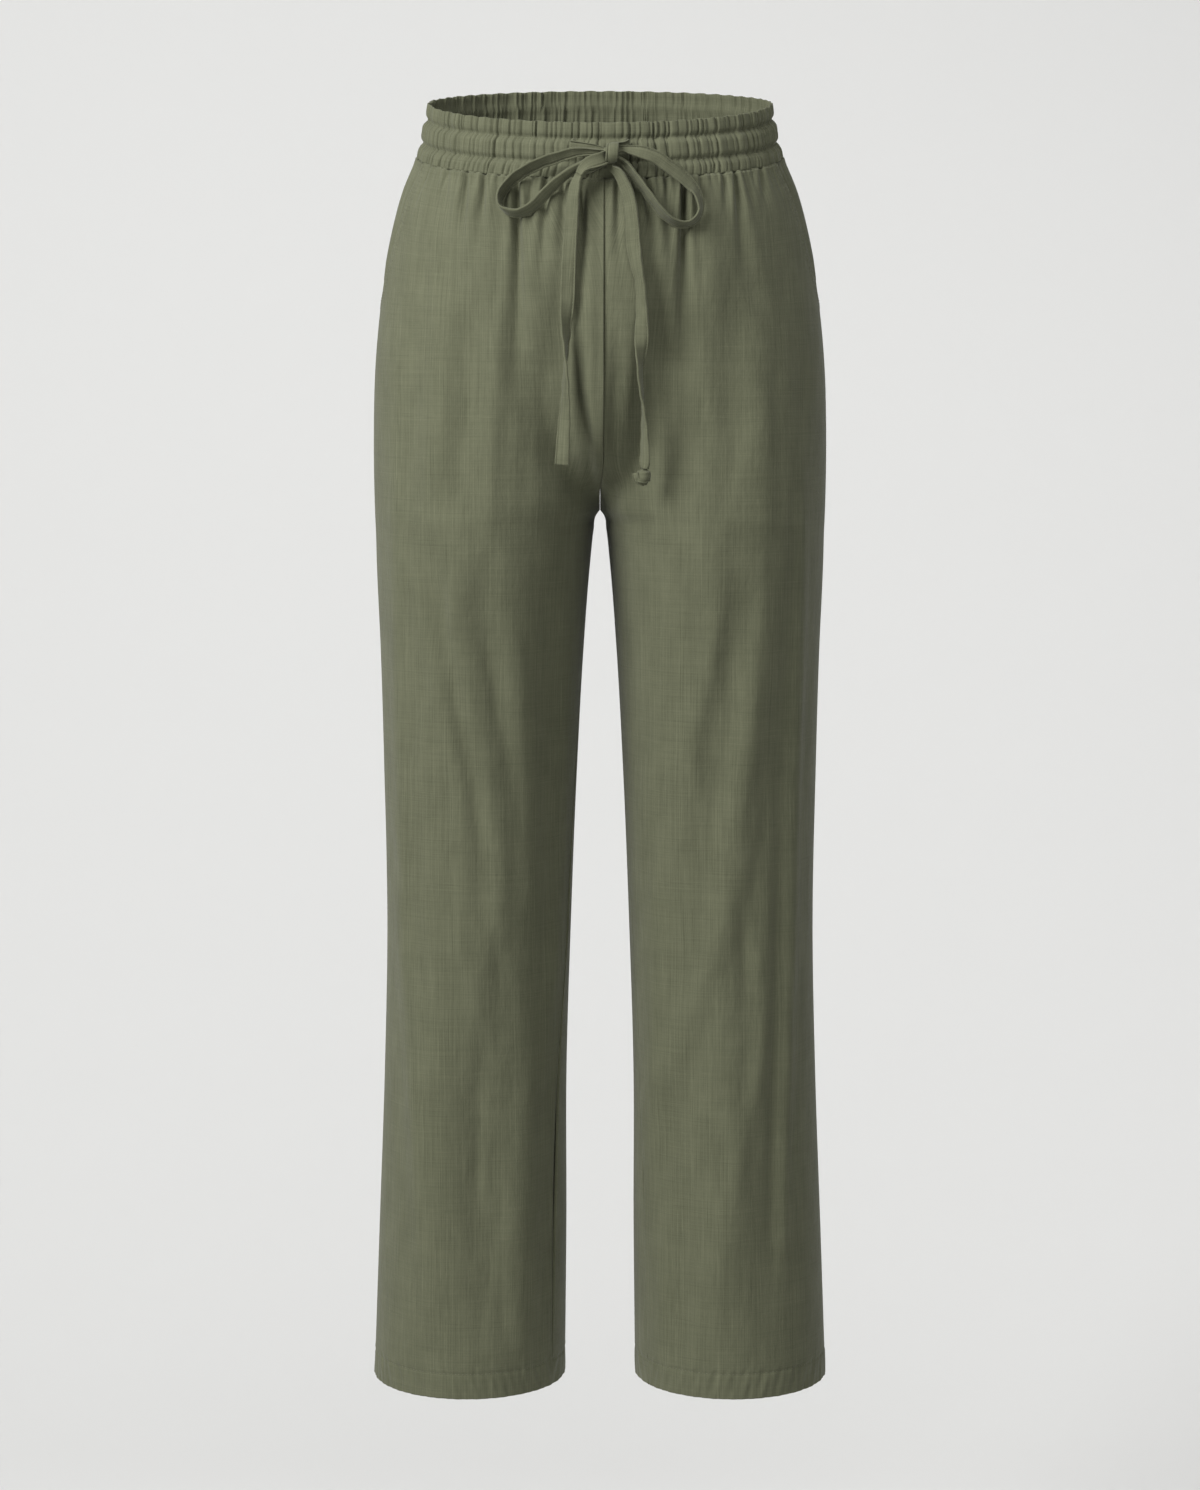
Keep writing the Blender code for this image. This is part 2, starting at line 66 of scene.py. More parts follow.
Section = namedtuple("Section", "level outer inner front back inseam")
SECTIONS = [
    Section(-0.0000, 0.1415, 0.0000, 0.0945, 0.0995, 0),
    Section(-0.0193, 0.1452, 0.0000, 0.0985, 0.1035, 0),
    Section(-0.0460, 0.1553, 0.0000, 0.1060, 0.1120, 0),
    Section(-0.0830, 0.1650, 0.0000, 0.1125, 0.1210, 0),
    Section(-0.1310, 0.1728, 0.0000, 0.1165, 0.1280, 0),
    Section(-0.1780, 0.1775, 0.0000, 0.1180, 0.1315, 0),
    Section(-0.2410, 0.1795, 0.0000, 0.1165, 0.1300, 0),
    Section(-0.2966, 0.1789, 0.0002, 0.1120, 0.1230, 0),
    Section(-0.3000, 0.1788, 0.0028, 0.1117, 0.1225, 1),
    Section(-0.3120, 0.1783, 0.0050, 0.1105, 0.1210, 2),
    Section(-0.3360, 0.1778, 0.0076, 0.1080, 0.1170, 3),
    Section(-0.4080, 0.1751, 0.0132, 0.1000, 0.1060, 6),
    Section(-0.5050, 0.1729, 0.0185, 0.0915, 0.0960, 9),
    Section(-0.6270, 0.1713, 0.0234, 0.0855, 0.0885, 15),
    Section(-0.7500, 0.1742, 0.0271, 0.0830, 0.0850, 22),
    Section(-0.8740, 0.1791, 0.0273, 0.0835, 0.0850, 27),
    Section(-0.9985, 0.1840, 0.0286, 0.0850, 0.0870, 30),
]
# The slanted pocket opening: how far round from the side seam the front panel is cut back. It lies
# a few millimetres further forward than on the solids.
PocketRow = namedtuple("PocketRow", "level degrees")
POCKET = [
    PocketRow(-0.0193, 17.0),
    PocketRow(-0.0400, 15.6),
    PocketRow(-0.0620, 14.4),
    PocketRow(-0.0840, 12.8),
    PocketRow(-0.1040, 10.2),
    PocketRow(-0.1220, 6.4),
    PocketRow(-0.1360, 0.0),
]
POCKET_LAP = 11.0  # degrees that the facing reaches under the front panel
FACING_END = -0.1520

# Folds run between two points given by x and z: a ridge where height is over 0, a trough under 0.
Fold = namedtuple("Fold", "x_top z_top x_end z_end width height")
FRONT_FOLDS = [
    # the solids' large folds
    Fold(-0.064, -0.040, -0.064, -0.210, 0.013, -0.0042),
    Fold(-0.032, -0.100, -0.018, -0.300, 0.016, -0.0045),
    Fold(-0.050, -0.060, -0.048, -0.180, 0.013, 0.0028),
    Fold(0.026, -0.070, 0.022, -0.235, 0.014, 0.0028),
    Fold(0.065, -0.040, 0.066, -0.190, 0.014, -0.0040),
    Fold(0.084, -0.060, 0.082, -0.230, 0.015, 0.0026),
    Fold(-0.130, -0.300, -0.084, -0.620, 0.015, -0.0040),
    Fold(-0.094, -0.300, -0.060, -0.590, 0.014, -0.0035),
    Fold(-0.084, -0.560, -0.083, -0.960, 0.026, -0.0055),
    Fold(-0.122, -0.600, -0.130, -0.960, 0.020, 0.0035),
    Fold(0.108, -0.300, 0.082, -0.560, 0.014, -0.0040),
    Fold(0.086, -0.480, 0.070, -0.720, 0.016, -0.0040),
    Fold(0.127, -0.320, 0.108, -0.600, 0.015, 0.0035),
    Fold(0.140, -0.740, 0.136, -0.985, 0.018, -0.0035),
]
BACK_FOLDS = [
    Fold(-0.090, -0.040, -0.096, -0.200, 0.016, -0.0036),
    Fold(-0.048, -0.060, -0.060, -0.230, 0.016, -0.0036),
    Fold(0.036, -0.040, 0.044, -0.190, 0.015, -0.0038),
    Fold(0.080, -0.050, 0.094, -0.240, 0.016, -0.0036),
    Fold(-0.050, -0.260, -0.110, -0.420, 0.020, -0.0050),
    Fold(0.056, -0.270, 0.116, -0.440, 0.020, -0.0050),
    Fold(-0.120, -0.420, -0.086, -0.760, 0.018, -0.0042),
    Fold(-0.070, -0.600, -0.082, -0.980, 0.022, -0.0045),
    Fold(0.122, -0.430, 0.092, -0.700, 0.018, -0.0042),
    Fold(0.100, -0.620, 0.112, -0.970, 0.022, -0.0045),
]
# Smaller folds that the solids leave out
FRONT_DETAIL = [
    Fold(-0.159, -0.230, -0.155, -0.700, 0.007, 0.0030),
    Fold(-0.155, -0.560, -0.142, -0.900, 0.008, 0.0030),
    Fold(0.157, -0.230, 0.151, -0.700, 0.006, 0.0034),
    Fold(0.149, -0.560, 0.146, -0.940, 0.006, 0.0032),
    Fold(0.143, -0.400, 0.137, -0.900, 0.006, -0.0022),
    Fold(-0.140, -0.330, -0.104, -0.560, 0.008, 0.0022),
    Fold(-0.112, -0.350, -0.072, -0.640, 0.008, 0.0024),
    Fold(-0.094, -0.330, -0.062, -0.560, 0.009, -0.0024),
    Fold(-0.126, -0.340, -0.090, -0.600, 0.009, -0.0022),
    Fold(-0.066, -0.340, -0.056, -0.640, 0.012, 0.0022),
    Fold(-0.040, -0.330, -0.036, -0.660, 0.014, -0.0046),
    Fold(-0.042, -0.600, -0.038, -0.990, 0.013, -0.0034),
    Fold(-0.074, -0.500, -0.100, -0.760, 0.010, 0.0022),
    Fold(-0.120, -0.480, -0.118, -0.760, 0.009, -0.0020),
    Fold(-0.058, -0.700, -0.066, -0.990, 0.012, 0.0030),
    Fold(-0.104, -0.640, -0.094, -0.960, 0.014, -0.0030),
    Fold(-0.140, -0.640, -0.136, -0.960, 0.013, 0.0026),
    Fold(0.118, -0.340, 0.084, -0.600, 0.010, -0.0030),
    Fold(0.096, -0.330, 0.070, -0.520, 0.010, 0.0024),
    Fold(0.134, -0.420, 0.114, -0.720, 0.010, -0.0024),
    Fold(0.104, -0.560, 0.060, -0.760, 0.012, 0.0026),
    Fold(0.086, -0.640, 0.050, -0.860, 0.012, -0.0028),
    Fold(0.114, -0.700, 0.094, -0.960, 0.014, 0.0034),
    Fold(0.072, -0.780, 0.064, -1.000, 0.010, -0.0022),
    Fold(0.050, -0.520, 0.044, -0.820, 0.010, 0.0022),
    Fold(0.052, -0.840, 0.050, -1.000, 0.009, 0.0020),
    Fold(-0.120, -0.110, -0.128, -0.330, 0.012, 0.0034),
    Fold(-0.096, -0.100, -0.108, -0.300, 0.011, -0.0030),
    Fold(-0.078, -0.130, -0.086, -0.330, 0.009, 0.0020),
    Fold(-0.144, -0.130, -0.150, -0.330, 0.010, -0.0018),
    Fold(0.096, -0.130, 0.104, -0.300, 0.012, -0.0028),
    Fold(0.122, -0.120, 0.130, -0.340, 0.012, 0.0026),
    Fold(0.044, -0.130, 0.048, -0.300, 0.010, -0.0020),
    Fold(-0.010, -0.090, -0.006, -0.290, 0.006, 0.0026),
    Fold(0.014, -0.150, 0.008, -0.306, 0.006, -0.0044),
    Fold(-0.012, -0.200, -0.004, -0.306, 0.006, -0.0040),
]
BACK_DETAIL = [
    Fold(-0.154, -0.240, -0.148, -0.640, 0.008, 0.0028),
    Fold(0.154, -0.260, 0.146, -0.700, 0.008, 0.0028),
    Fold(-0.100, -0.660, -0.104, -0.960, 0.014, 0.0032),
    Fold(0.074, -0.640, 0.070, -0.940, 0.014, 0.0032),
    Fold(-0.030, -0.250, -0.084, -0.340, 0.009, -0.0030),
    Fold(0.026, -0.262, 0.090, -0.356, 0.009, -0.0030),
    Fold(-0.020, -0.290, -0.070, -0.400, 0.008, 0.0022),
    Fold(0.020, -0.300, 0.076, -0.410, 0.008, 0.0022),
    Fold(-0.104, -0.400, -0.072, -0.640, 0.010, -0.0026),
    Fold(0.112, -0.430, 0.076, -0.660, 0.010, -0.0026),
    Fold(-0.132, -0.360, -0.104, -0.600, 0.010, 0.0022),
    Fold(0.134, -0.380, 0.100, -0.600, 0.010, 0.0022),
    Fold(-0.058, -0.740, -0.062, -0.990, 0.010, -0.0026),
    Fold(0.132, -0.700, 0.128, -0.980, 0.012, -0.0026),
    Fold(-0.110, -0.110, -0.122, -0.300, 0.012, 0.0028),
    Fold(-0.070, -0.110, -0.082, -0.290, 0.010, 0.0024),
    Fold(0.060, -0.110, 0.072, -0.290, 0.010, 0.0024),
    Fold(0.104, -0.110, 0.120, -0.300, 0.012, 0.0028),
]

# Pleats run down from the waist seam: deepest and narrowest at the seam, with a soft lip on both
# sides, and wider and shallower further down.
Pleat = namedtuple("Pleat", "x_top x_end z_end width_top width_end depth")
FRONT_PLEATS = [
    Pleat(-0.118, -0.121, -0.052, 0.0014, 0.0040, 0.0020),
    Pleat(-0.103, -0.109, -0.098, 0.0015, 0.0060, 0.0046),
    Pleat(-0.0895, -0.094, -0.088, 0.0015, 0.0055, 0.0046),
    Pleat(-0.078, -0.080, -0.060, 0.0013, 0.0036, 0.0020),
    Pleat(-0.064, -0.063, -0.215, 0.0019, 0.0070, 0.0070),
    Pleat(-0.053, -0.054, -0.080, 0.0014, 0.0040, 0.0024),
    Pleat(-0.0415, -0.045, -0.130, 0.0018, 0.0060, 0.0046),
    Pleat(-0.028, -0.028, -0.100, 0.0015, 0.0050, 0.0030),
    Pleat(-0.014, -0.015, -0.190, 0.0022, 0.0080, 0.0046),
    Pleat(0.013, 0.015, -0.105, 0.0017, 0.0045, 0.0038),
    Pleat(0.024, 0.023, -0.085, 0.0014, 0.0040, 0.0024),
    Pleat(0.036, 0.046, -0.170, 0.0020, 0.0080, 0.0046),
    Pleat(0.051, 0.053, -0.075, 0.0014, 0.0040, 0.0024),
    Pleat(0.065, 0.0645, -0.205, 0.0019, 0.0060, 0.0074),
    Pleat(0.078, 0.080, -0.070, 0.0014, 0.0040, 0.0020),
    Pleat(0.0952, 0.099, -0.060, 0.0014, 0.0040, 0.0030),
    Pleat(0.1045, 0.1130, -0.110, 0.0016, 0.0060, 0.0044),
    Pleat(0.1250, 0.1290, -0.058, 0.0014, 0.0040, 0.0024),
]
BACK_PLEATS = [
    Pleat(-0.120, -0.127, -0.080, 0.0018, 0.0050, 0.0024),
    Pleat(-0.101, -0.107, -0.130, 0.0020, 0.0060, 0.0034),
    Pleat(-0.084, -0.087, -0.070, 0.0016, 0.0040, 0.0018),
    Pleat(-0.066, -0.071, -0.170, 0.0022, 0.0070, 0.0042),
    Pleat(-0.047, -0.049, -0.080, 0.0016, 0.0040, 0.0020),
    Pleat(-0.029, -0.031, -0.150, 0.0022, 0.0070, 0.0036),
    Pleat(-0.013, -0.014, -0.070, 0.0016, 0.0040, 0.0018),
    Pleat(0.017, 0.018, -0.130, 0.0020, 0.0060, 0.0034),
    Pleat(0.035, 0.038, -0.075, 0.0016, 0.0040, 0.0020),
    Pleat(0.052, 0.058, -0.180, 0.0024, 0.0070, 0.0044),
    Pleat(0.074, 0.077, -0.080, 0.0016, 0.0040, 0.0020),
    Pleat(0.093, 0.099, -0.120, 0.0020, 0.0060, 0.0032),
    Pleat(0.113, 0.119, -0.070, 0.0016, 0.0040, 0.0018),
]

# ---------------------------------------------------------------- sizes of what is added here
SHEET_COLUMNS = 185  # across a panel
FACING_COLUMNS = 60
SHEET_EDGE = 0.0008  # a sheet stops this share of u short of its seam
TURN_DEPTH = 0.0022  # how far a seam edge or a hem is turned in
LAP = 0.0030  # the wearer's right front laps over the left at the centre seam
LAP_RISE = 0.0007  # how far the lapped edge stands above the other
POCKET_RISE = 0.0004  # how far the pocket's edge stands off the body
FACING_SINK = 0.0026  # how far in the facing lies where the front covers it
GAPE = {1: 0.0052, -1: 0.0014}  # how far each pocket stands open; the wearer's left one more
THREAD_LINE = 0.090  # x of the straight line down each leg that its warp threads follow
GATHERS = 164  # creases round the waist
CREASES = 60  # small creases in each panel
BAND_COLUMNS = 1750
BAND_SLANT_END = 0.034  # how far round the band's creases have moved by its lower edge, in radians

LINEN_DARK = (0.058, 0.062, 0.035)
LINEN_LIGHT = (0.134, 0.139, 0.086)
# Cuts of the cloth that shows, laid flat. The band is cut at twice its height and folded.
Cut = namedtuple("Cut", "width length area")
THREAD_DARK = (0.085, 0.089, 0.056)
THREAD_LIGHT = (0.165, 0.170, 0.115)


# ---------------------------------------------------------------- the garment's form
def smoothstep(start, end, value):
    """0 at start, 1 at end, level at both."""
    t = np.clip((value - start) / (end - start), 0, 1)
    return t * t * (3 - 2 * t)


def curve_between(y, slope, i, t, step):
    """The smooth curve through rows y with these slopes, at share t of the step after row i."""
    ends = (1 + 2 * t) * (1 - t) ** 2 * y[i] + t * t * (3 - 2 * t) * y[i + 1]
    return ends + step * (t * (1 - t) ** 2 * slope[i] + t * t * (t - 1) * slope[i + 1])


def along(table, key, column, value):
    """A table's column at these values of its key column, on a smooth curve through its rows."""
    rows = sorted(table, key=lambda row: getattr(row, key))
    x = np.array([getattr(row, key) for row in rows])
    y = np.array([getattr(row, column) for row in rows])
    slope = np.gradient(y, x)
    i = np.clip(np.searchsorted(x, value) - 1, 0, len(x) - 2)
    step = x[i + 1] - x[i]
    t = np.clip((value - x[i]) / step, 0, 1)
    return curve_between(y, slope, i, t, step)


def length_along(points):
    """The distance of each point from the first, along the line."""
    return np.concatenate([[0], np.cumsum(np.linalg.norm(np.diff(points, axis=0), axis=1))])


def body_point(face, u, level):
    """A point of the left half's smooth outer surface, without folds."""
    other = "back" if face == "front" else "front"
    forward = -1 if face == "front" else 1
    half = along(SECTIONS, "level", "outer", level)
    inner = along(SECTIONS, "level", "inner", level)
    depth = along(SECTIONS, "level", face, level)
    behind = along(SECTIONS, "level", other, level)
    turn = np.pi / 2 * u
    hip_x = half * np.cos(turn)
    hip_y = forward * depth * np.sin(turn)
    drift = np.radians(along(SECTIONS, "level", "inseam", level))
    sweep = (np.pi + forward * drift) * u
    leg_x = (half + inner) / 2 + (half - inner) / 2 * np.cos(sweep)
    leg_y = forward * np.where(np.sin(sweep) > 0, depth, behind) * np.sin(sweep)
    split = smoothstep(LEG_SPLIT_TOP, LEG_SPLIT_END, level)
    seam_split = np.clip((HIP - level) / (HIP - CROTCH), 0, 1) ** 4
    split = split + (seam_split - split) * smoothstep(0.6, 1, u) ** 2
    x = hip_x + (leg_x - hip_x) * split
    y = hip_y + (leg_y - hip_y) * split
    tilt = -TILT_FRONT if face == "front" else TILT_BACK
    z = level + tilt * np.sin(turn) * (1 - smoothstep(WAIST_SEAM, TILT_END, level))
    return np.stack([x, y, z], axis=-1)


def body_normal(face, u, level):
    """The outward direction of the smooth surface."""
    step = 1e-4
    across = body_point(face, u + step, level) - body_point(face, u - step, level)
    up = body_point(face, u, level + step) - body_point(face, u, level - step)
    normal = np.cross(up, across) if face == "front" else np.cross(across, up)
    return normal / np.linalg.norm(normal, axis=-1, keepdims=True)


def fold_height(folds, x, z):
    """How far the folds of one face lift the cloth at x, z."""
    height = np.zeros(np.broadcast(x, z).shape)
    for fold in folds:
        t = np.clip((fold.z_top - z) / (fold.z_top - fold.z_end), 0, 1)
        centre = fold.x_top + (fold.x_end - fold.x_top) * smoothstep(0, 1, t)
        height += fold.height * np.sin(np.pi * t) ** 0.8 * np.exp(-(((x - centre) / fold.width) ** 2))
    return height


# ---------------------------------------------------------------- gathers and small creases
Gather = namedtuple("Gather", "angle strength reach drift")
Crease = namedtuple("Crease", "x z lean length width height")


def make_gathers():
    """The creases round the gathered waist. angle is from the left side seam, forwards."""
    rng = np.random.default_rng(11)
    spacing = rng.uniform(0.45, 1.55, GATHERS)
    angles = np.cumsum(spacing) / spacing.sum() * 2 * np.pi
    strength = 0.30 + 0.70 * rng.random(GATHERS) ** 1.6
    reach = 0.006 + 0.030 * rng.random(GATHERS) ** 2.2
    drift = rng.uniform(-0.03, 0.03, GATHERS)
    return [Gather(*row) for row in zip(angles, strength, reach, drift)]


def make_creases(face, side):
    """Small soft creases scattered over one panel, mostly upright."""
    rng = np.random.default_rng({"front": 21, "back": 57}[face] + side)
    rows = []
    for _ in range(CREASES):
        z = rng.uniform(-0.95, -0.06)
        x = side * rng.uniform(0.03 if z < CROTCH else 0.01, 0.165)
        lean = rng.normal(0, 0.16) - 0.10 * side * (1 if z < CROTCH else 0)
        size = rng.uniform(0.0003, 0.0008)
        rows.append(Crease(x, z, lean, rng.uniform(0.025, 0.090), rng.uniform(0.0060, 0.0130), size))
    return rows


ALL_GATHERS = make_gathers()


def around(off):
    """An angle brought between -pi and pi."""
    return (off + np.pi) % (2 * np.pi) - np.pi


def gather_height(face, side, u, level):
    """Short creases below the waist seam, where the band's gathers run out into the panel."""
    quarter = np.pi / 2 * u
    if side > 0:
        angle = quarter if face == "front" else 2 * np.pi - quarter
    else:
        angle = np.pi - quarter if face == "front" else np.pi + quarter
    drop = WAIST_SEAM - level
    low, high = angle.min() - 0.1, angle.max() + 0.1
    height = np.zeros(np.broadcast(u, level).shape)
    for gather in ALL_GATHERS:
        if not low < gather.angle < high:
            continue
        off = around(angle - gather.angle - BAND_SLANT_END - gather.drift * drop / 0.03)
        width = 0.0085 * (1 + drop / 0.020)
        fade = np.exp(-((drop / gather.reach) ** 1.5))
        height -= gather.strength * fade * np.exp(-((off / width) ** 2))
    return 0.0012 * height


def pleat_height(pleats, x, z, level):
    """How far the pleats lower the cloth, and lift it beside them."""
    height = np.zeros(np.broadcast(x, z).shape)
    for pleat in pleats:
        t = np.clip((WAIST_SEAM - level) / (WAIST_SEAM - pleat.z_end), 0, 1)
        centre = pleat.x_top + (pleat.x_end - pleat.x_top) * t
        width = pleat.width_top + (pleat.width_end - pleat.width_top) * t
        off = (x - centre) / width
        fade = (1 - t) ** 1.1 * (1 - 0.35 * np.exp(-t / 0.06))
        lips = 0.40 * (np.exp(-((off - 2.0) ** 2) / 1.4) + np.exp(-((off + 2.0) ** 2) / 1.4))
        height += pleat.depth * fade * (lips - np.exp(-(off**2)))
    return height


def crease_height(creases, x, z):
    """Each crease lifts the cloth on one side and lowers it on the other."""
    height = np.zeros(np.broadcast(x, z).shape)
    for crease in creases:
        cos, sin = math.cos(crease.lean), math.sin(crease.lean)
        across = (x - crease.x) * cos + (z - crease.z) * sin
        length = -(x - crease.x) * sin + (z - crease.z) * cos
        ends = np.exp(-((length / crease.length) ** 2))
        height += crease.height * ends * (across / crease.width) * np.exp(0.5 - (across / crease.width) ** 2)
    return height


def hem_height(u, level, seed):
    """The stitched hem: a groove along its stitch line, with small slanted puckers."""
    line = np.exp(-(((level - HEM_TOP) / 0.0011) ** 2))
    band = smoothstep(HEM_TOP + 0.007, HEM_TOP, level)
    wave = np.sin(u * 118 + seed + (level - HEM_TOP) * 260) * np.sin(u * 47 + 2.1 * seed)
    return -0.0006 * line + 0.00045 * band * wave


def cloth_point(face, side, u, level, out=0.0):
    """A point of a panel's outer surface with its folds, moved out by this much."""
    point = body_point(face, u, level)
    normal = body_normal(face, u, level)
    x, y, z = side * point[..., 0], point[..., 1], point[..., 2]
    front = face == "front"
    facing = smoothstep(0, FOLD_TURN, np.abs(y)) * smoothstep(WAIST_SEAM, WAIST_SEAM - 0.03, level)
    height = fold_height(FRONT_FOLDS if front else BACK_FOLDS, x, z) * facing + out
    turned = smoothstep(0, 0.03, np.abs(y)) * smoothstep(WAIST_SEAM, WAIST_SEAM - 0.012, level)
    height += fold_height(FRONT_DETAIL if front else BACK_DETAIL, x, z) * turned
    height += crease_height(make_creases(face, side), x, z) * turned
    height += gather_height(face, side, u, level)
    pleats = FRONT_PLEATS if front else BACK_PLEATS
    height += pleat_height(pleats, x, z, level) * smoothstep(0, 0.02, np.abs(y))
    height += hem_height(u, level, 1 + side + 3 * front)
    return point + normal * height[..., None], normal


# ---------------------------------------------------------------- meshes
def linked(name, mesh):
    """A new object in the scene for a mesh, shaded smooth."""
    mesh.shade_smooth()
    made = bpy.data.objects.new(name, mesh)
    bpy.context.scene.collection.objects.link(made)
    return made


def grid_object(name, points, uv, ring=False):
    """An object of quads through a grid of points, with a UV map in metres along the cloth."""
    rows, columns = points.shape[:2]
    spans = columns if ring else columns - 1
    row, column = np.meshgrid(np.arange(rows - 1), np.arange(spans), indexing="ij")
    after = (column + 1) % columns
    above, below = row * columns, (row + 1) * columns
    corners = np.stack([above + column, above + after, below + after, below + column], axis=-1)
    corners = corners.reshape(-1, 4)
    mesh = bpy.data.meshes.new(name)
    mesh.from_pydata(points.reshape(-1, 3), [], corners)
    width = uv[0, -1, 0] + (uv[0, 1, 0] - uv[0, 0, 0])
    corner_uv = uv.reshape(-1, 2)[corners]
    if ring:
        wraps = (after == 0).reshape(-1)
        corner_uv[wraps, 1:3, 0] = width
    layer = mesh.uv_layers.new(name="cloth")
    layer.uv.foreach_set("vector", corner_uv.reshape(-1).astype(np.float32))
    return linked(name, mesh)


def cloth_uv(points):
    """Metres across from the straight line down the leg, and down from the first row."""
    across = np.linalg.norm(np.diff(points, axis=1), axis=2)
    down = np.linalg.norm(np.diff(points, axis=0), axis=2).mean(axis=1)
    u = np.concatenate([np.zeros((len(points), 1)), np.cumsum(across, axis=1)], axis=1)
    v = np.concatenate([[0], np.cumsum(down)])
    line = [np.interp(-THREAD_LINE, -row[:, 0], along_row) for row, along_row in zip(points, u)]
    u = u - np.array(line)[:, None]
    return np.stack([u, np.broadcast_to(-v[:, None], u.shape)], axis=-1)


def finish_piece(made, material, slot, *nodes):
    """Gives a piece its material and body, and hides the solids that it stands for; its slot is not used."""
    made.data.materials.append(material)
    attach(made, "root")
    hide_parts(*nodes)
    return made


def sheet_levels():
    """Levels of a sheet's rows: close together at the waist, the crotch and the hem."""
    top = WAIST_SEAM - GAP / 2
    return np.concatenate(
        [
            np.arange(top, -0.138, -0.0013),
            np.arange(-0.138, -0.200, -0.0024),
            -0.200 + (CROTCH + 0.200) * np.sin(np.linspace(0, np.pi / 2, 40)),
            np.arange(CROTCH - 0.0012, -0.330, -0.0025),
            np.arange(-0.330, -0.955, -0.0040),
            np.arange(-0.955, HEM + 0.0003, -0.0011),
            [HEM],
        ]
    )


def edge_columns(start, end, count):
    """Shares from 0 to 1 across a sheet, with a few close together at both edges."""
    close = np.array([0.0025, 0.006, 0.011])
    inner = np.linspace(0.018, 0.982, count)
    share = np.concatenate([[0], close, inner, 1 - close[::-1], [1]])
    return start[:, None] + (end - start)[:, None] * share


def turned_edges(points, normal, left=True, right=True):
    """Adds columns that turn in at the seam edges, so that a seam reads as a groove."""
    grids = [points]
    for wanted, edge, neighbour, at_start in ((left, 0, 1, True), (right, -1, -2, False)):
        if not wanted:
            continue
        inward = points[:, edge] - points[:, neighbour]
        inward /= np.linalg.norm(inward, axis=1, keepdims=True)
        first = points[:, edge] + inward * 0.0001 - normal[:, edge] * 0.0004
        last = points[:, edge] - normal[:, edge] * TURN_DEPTH
        extra = np.stack([last, first] if at_start else [first, last], axis=1)
        grids = [extra] + grids if at_start else grids + [extra]
    return np.concatenate(grids, axis=1)


# The seam allowance under the band, from its upper end down: how far in and how far up it lies
TUCK = ((0.0016, 0.0016), (0.0010, 0.0003), (0.0003, 0.0001))


def tucked_top(points, normal):
    """Adds a seam allowance that goes up under the band."""
    edge, out = points[0], normal[0]
    up = np.array([0, 0, 1.0])
    top = np.array([edge - out * sink + up * climb for sink, climb in TUCK])
    normals = np.concatenate([np.repeat(normal[:1], len(TUCK), axis=0), normal])
    return np.concatenate([top, points]), normals


def turned_hem(points, normal):
    """Adds a hem turned up inside."""
    edge, out = points[-1], normal[-1]
    up = np.array([0, 0, 1.0])
    hem = []
    for angle in np.radians([30, 60, 90, 120, 150, 180]):
        hem.append(edge - out * 0.0009 * (1 - np.cos(angle)) - up * 0.0009 * np.sin(angle))
    for climb in (0.006, 0.0125, 0.0195):
        hem.append(edge - out * 0.0019 + up * climb)
    normals = np.concatenate([normal, np.repeat(normal[-1:], len(hem), axis=0)])
    return np.concatenate([points, np.array(hem)]), normals


def pocket_edge(level):
    """Where the front panel's slanted pocket opening cuts it, as u."""
    return along(POCKET, "level", "degrees", level) / 90


def lap_width(level):
    """How far one front laps over the other at the centre seam."""
    return LAP * smoothstep(-0.285, -0.25, level)


def panel_edges(face, side, level):
    """Where a panel's cloth starts and ends, as u."""
    start = np.full(len(level), SHEET_EDGE)
    end = np.full(len(level), 1 - SHEET_EDGE)
    if face == "front":
        start = np.maximum(start, pocket_edge(level))
        end = end - side * lap_width(level) / (along(SECTIONS, "level", "outer", level) * np.pi / 2)
    return start, end


def front_lift(side, u, level):
    """How far a front panel stands off at its pocket's edge and its lapped seam."""
    start, end = panel_edges("front", side, np.ravel(level))
    start, end = start.reshape(level.shape), end.reshape(level.shape)
    opening = smoothstep(0.14, 0, u - start) * smoothstep(-0.146, -0.110, level)
    opening = opening * smoothstep(-0.022, -0.050, level)
    lapped = np.exp(-(((end - u) / 0.012) ** 2)) * smoothstep(-0.290, -0.262, level)
    sewn = np.exp(-(((u - start - 0.027) / 0.018) ** 2)) * smoothstep(-0.140, -0.125, level)
    pucker = np.sin(level * 1010 + 60 * u + 2 * np.sin(level * 310)) * sewn
    return POCKET_RISE * opening - side * LAP_RISE * lapped + 0.00035 * pucker


def make_panel_sheet(face, hand, side, material):
    """The fine cloth of one panel, with turned seam edges, pocket edge and hem."""
    level_list = sheet_levels()
    start, end = panel_edges(face, side, level_list)
    u = edge_columns(start, end, SHEET_COLUMNS)
    level = level_list[:, None] * np.ones(u.shape[1])
    out = front_lift(side, u, level) if face == "front" else 0
    points, normal = cloth_point(face, side, u, level, out)
    lap = side * lap_width(level) if face == "front" else 0
    points[..., 0] = np.where(level > CROTCH, np.maximum(points[..., 0], lap + GAP / 2), points[..., 0])
    grid = turned_edges(*turned_hem(*tucked_top(points, normal)))
    uv = cloth_uv(grid)
    grid[..., 0] *= side
    if side < 0:
        grid, uv = grid[:, ::-1], uv[:, ::-1] * (-1, 1)
    if face == "back":
        grid, uv = grid[:, ::-1], uv[:, ::-1]
    made = grid_object(f"{face}_cloth_{hand}", grid, uv)
    return finish_piece(made, material, "linen", f"{face}_{hand}")


